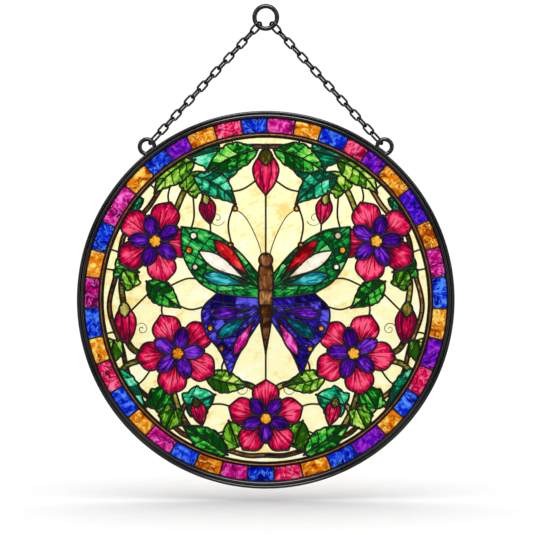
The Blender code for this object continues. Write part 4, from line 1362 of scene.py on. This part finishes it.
class BuildGlass(BuildPiece):
    """Makes the panes whose shape's name starts with one of a group's words. A group is
    its words, its slot and whether it is of hearts."""
    groups = ()

    def build(self, sizes, colours):
        for words, slot, hearts in self.groups:
            self.build_group(sizes, colours, words, slot, hearts)

    def build_group(self, sizes, colours, words, slot, hearts):
        def mine(name):
            return name.startswith(words) and ("heart" in name) == hearts

        levels = {}
        for level, shape in enumerate(picture()):
            if mine(shape.name):
                levels.setdefault(shape.glass, []).append(level)
        nodes = [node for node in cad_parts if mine(node)]
        for glass, group in levels.items():
            obj = glass_plates("%s_%s_glass" % (words[0], glass), group, sizes)
            material = finish(glass + "_stained_glass", stained_finish, glass, colours,
                              *GLASS_MANNER.get(glass, ()))
            dress(obj, material, nodes)


class SUNCATCHER_OT_ground(BuildGlass, bpy.types.Operator):
    """Make the cream panes"""
    bl_idname = "suncatcher.ground"
    bl_label = "Ground glass"
    groups = ((("ground",), "ground_glass", False),)


class SUNCATCHER_OT_leaves(BuildGlass, bpy.types.Operator):
    """Make the leaves and stems"""
    bl_idname = "suncatcher.leaves"
    bl_label = "Leaves and stems"
    groups = ((("leaf", "stem"), "leaf_glass", False),)


class SUNCATCHER_OT_buds(BuildGlass, bpy.types.Operator):
    """Make the buds"""
    bl_idname = "suncatcher.buds"
    bl_label = "Buds"
    groups = ((("bud",), "bud_glass", False),)


class SUNCATCHER_OT_blossoms(BuildGlass, bpy.types.Operator):
    """Make the blossoms"""
    bl_idname = "suncatcher.blossoms"
    bl_label = "Blossoms"
    groups = ((("blossom",), "blossom_glass", False),)


class SUNCATCHER_OT_hearts(BuildGlass, bpy.types.Operator):
    """Make the blossoms' hearts"""
    bl_idname = "suncatcher.hearts"
    bl_label = "Hearts"
    groups = ((("blossom",), "heart_glass", True),)


class SUNCATCHER_OT_butterfly(BuildGlass, bpy.types.Operator):
    """Make the butterfly's wings and body"""
    bl_idname = "suncatcher.butterfly"
    bl_label = "Butterfly"
    groups = ((("wing_upper",), "wing_upper_glass", False),
              (("wing_lower",), "wing_lower_glass", False),
              (("butterfly",), "butterfly_body_glass", False))


class SUNCATCHER_OT_stage(BuildPiece, bpy.types.Operator):
    """Make the floor, the light and the camera"""
    bl_idname = "suncatcher.stage"
    bl_label = "Stage"

    def build(self, sizes, colours):
        size, level = FLOOR_HALF_SIDE, FLOOR_LEVEL
        corners = np.array(((-size, -size, level), (size, -size, level),
                            (size, size, level), (-size, size, level)))
        floor = mesh_object("floor", corners, [np.arange(4)[None]])
        floor.data.materials.append(floor_finish())
        floor.visible_glossy = False
        self.world()
        sun = bpy.data.lights.new("sky_panel", "SUN")
        sun.energy, sun.angle = SKY_ENERGY, math.radians(SKY_ANGLE_DEG)
        lamp = bpy.data.objects.new("sky_panel", sun)
        lamp.rotation_euler = (math.radians(SKY_TILT_DEG), 0, 0)
        lamp.visible_glossy = False
        bpy.context.scene.collection.objects.link(lamp)
        for step, energy in enumerate(PANEL_ENERGIES):
            self.reflected_panel("panel_%d" % step, energy, math.radians(90 - 45 * step))
        camera = bpy.data.cameras.new("camera")
        camera.sensor_fit, camera.sensor_width = "HORIZONTAL", SENSOR_WIDTH
        camera.lens = SENSOR_WIDTH * -CAMERA_PLACE[1] / VIEW_WIDTH
        stand = bpy.data.objects.new("camera", camera)
        stand.location = CAMERA_PLACE
        stand.rotation_euler = (math.radians(90), 0, 0)
        bpy.context.scene.collection.objects.link(stand)
        bpy.context.scene.camera = stand
        bpy.context.scene.view_settings.view_transform = "Standard"

    def reflected_panel(self, name, energy, angle):
        """A square panel, in the ring of them about the camera's line of sight at this
        angle from the right, that shows in the black metal alone."""
        light = bpy.data.lights.new(name, "AREA")
        light.energy, light.size = energy, PANEL_SIZE
        panel = bpy.data.objects.new(name, light)
        place = PANEL_REACH * Vector((math.cos(angle), -1, math.sin(angle)))
        panel.location = place + Vector((0, 0, -HOOP_DROP))
        panel.rotation_euler = place.to_track_quat("Z", "Y").to_euler()
        panel.visible_diffuse = panel.visible_camera = panel.visible_transmission = False
        bpy.context.scene.collection.objects.link(panel)

    def world(self):
        """White to the camera and through the glass, softer as light on surfaces, and dim
        in reflections, as in a studio with black flags."""
        world = bpy.data.worlds.new("studio")
        world.use_nodes = True
        nodes, links = world.node_tree.nodes, world.node_tree.links
        ray = nodes.new("ShaderNodeLightPath")

        def combined(operation, a, b):
            node = nodes.new("ShaderNodeMath")
            node.operation = operation
            for socket, value in zip(node.inputs, (a, b)):
                if isinstance(value, bpy.types.NodeSocket):
                    links.new(value, socket)
                else:
                    socket.default_value = value
            return node.outputs[0]

        glossy = combined("MULTIPLY", ray.outputs["Is Glossy Ray"],
                          combined("SUBTRACT", 1.0, ray.outputs["Is Transmission Ray"]))
        bounced = combined("MINIMUM", ray.outputs["Diffuse Depth"], 1.0)
        loss = combined("ADD", combined("MULTIPLY", bounced, BOUNCED_LOSS),
                        combined("MULTIPLY", glossy, GLOSSY_LOSS))
        loss = combined("SUBTRACT", loss,
                        combined("MULTIPLY", ray.outputs["Is Transmission Ray"], GLASS_GAIN))
        background = nodes["Background"]
        background.inputs["Color"].default_value = (1, 1, 1, 1)
        links.new(combined("SUBTRACT", WORLD_STRENGTH, loss), background.inputs["Strength"])
        bpy.context.scene.world = world


class SUNCATCHER_PT_panel(bpy.types.Panel):
    """The suncatcher's sizes, colours and pieces"""
    bl_idname = "SUNCATCHER_PT_panel"
    bl_label = "Suncatcher"
    bl_space_type = "VIEW_3D"
    bl_region_type = "UI"
    bl_category = "Suncatcher"

    def draw(self, context):
        for operator in OPERATORS:
            self.layout.operator(operator.bl_idname)
        for group in (context.scene.suncatcher_sizes, context.scene.suncatcher_colours):
            column = self.layout.column()
            for key in group.bl_rna.properties.keys():
                if key not in {"rna_type", "name"}:
                    column.prop(group, key)


OPERATORS = (
    SUNCATCHER_OT_rings, SUNCATCHER_OT_chains, SUNCATCHER_OT_hoop, SUNCATCHER_OT_copper,
    SUNCATCHER_OT_border, SUNCATCHER_OT_leads, SUNCATCHER_OT_ground, SUNCATCHER_OT_leaves,
    SUNCATCHER_OT_buds, SUNCATCHER_OT_blossoms, SUNCATCHER_OT_hearts, SUNCATCHER_OT_butterfly,
    SUNCATCHER_OT_stage)
CLASSES = (SuncatcherSizes, SuncatcherColours, *OPERATORS, SUNCATCHER_PT_panel)


def register():
    for item in CLASSES:
        bpy.utils.register_class(item)
    bpy.types.Scene.suncatcher_sizes = bpy.props.PointerProperty(type=SuncatcherSizes)
    bpy.types.Scene.suncatcher_colours = bpy.props.PointerProperty(type=SuncatcherColours)


def unregister():
    del bpy.types.Scene.suncatcher_colours
    del bpy.types.Scene.suncatcher_sizes
    for item in reversed(CLASSES):
        bpy.utils.unregister_class(item)


def main():
    register()
    for operator in OPERATORS:
        getattr(bpy.ops.suncatcher, operator.bl_idname.split(".")[1])()
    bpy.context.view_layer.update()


if __name__ == "__main__":
    main()
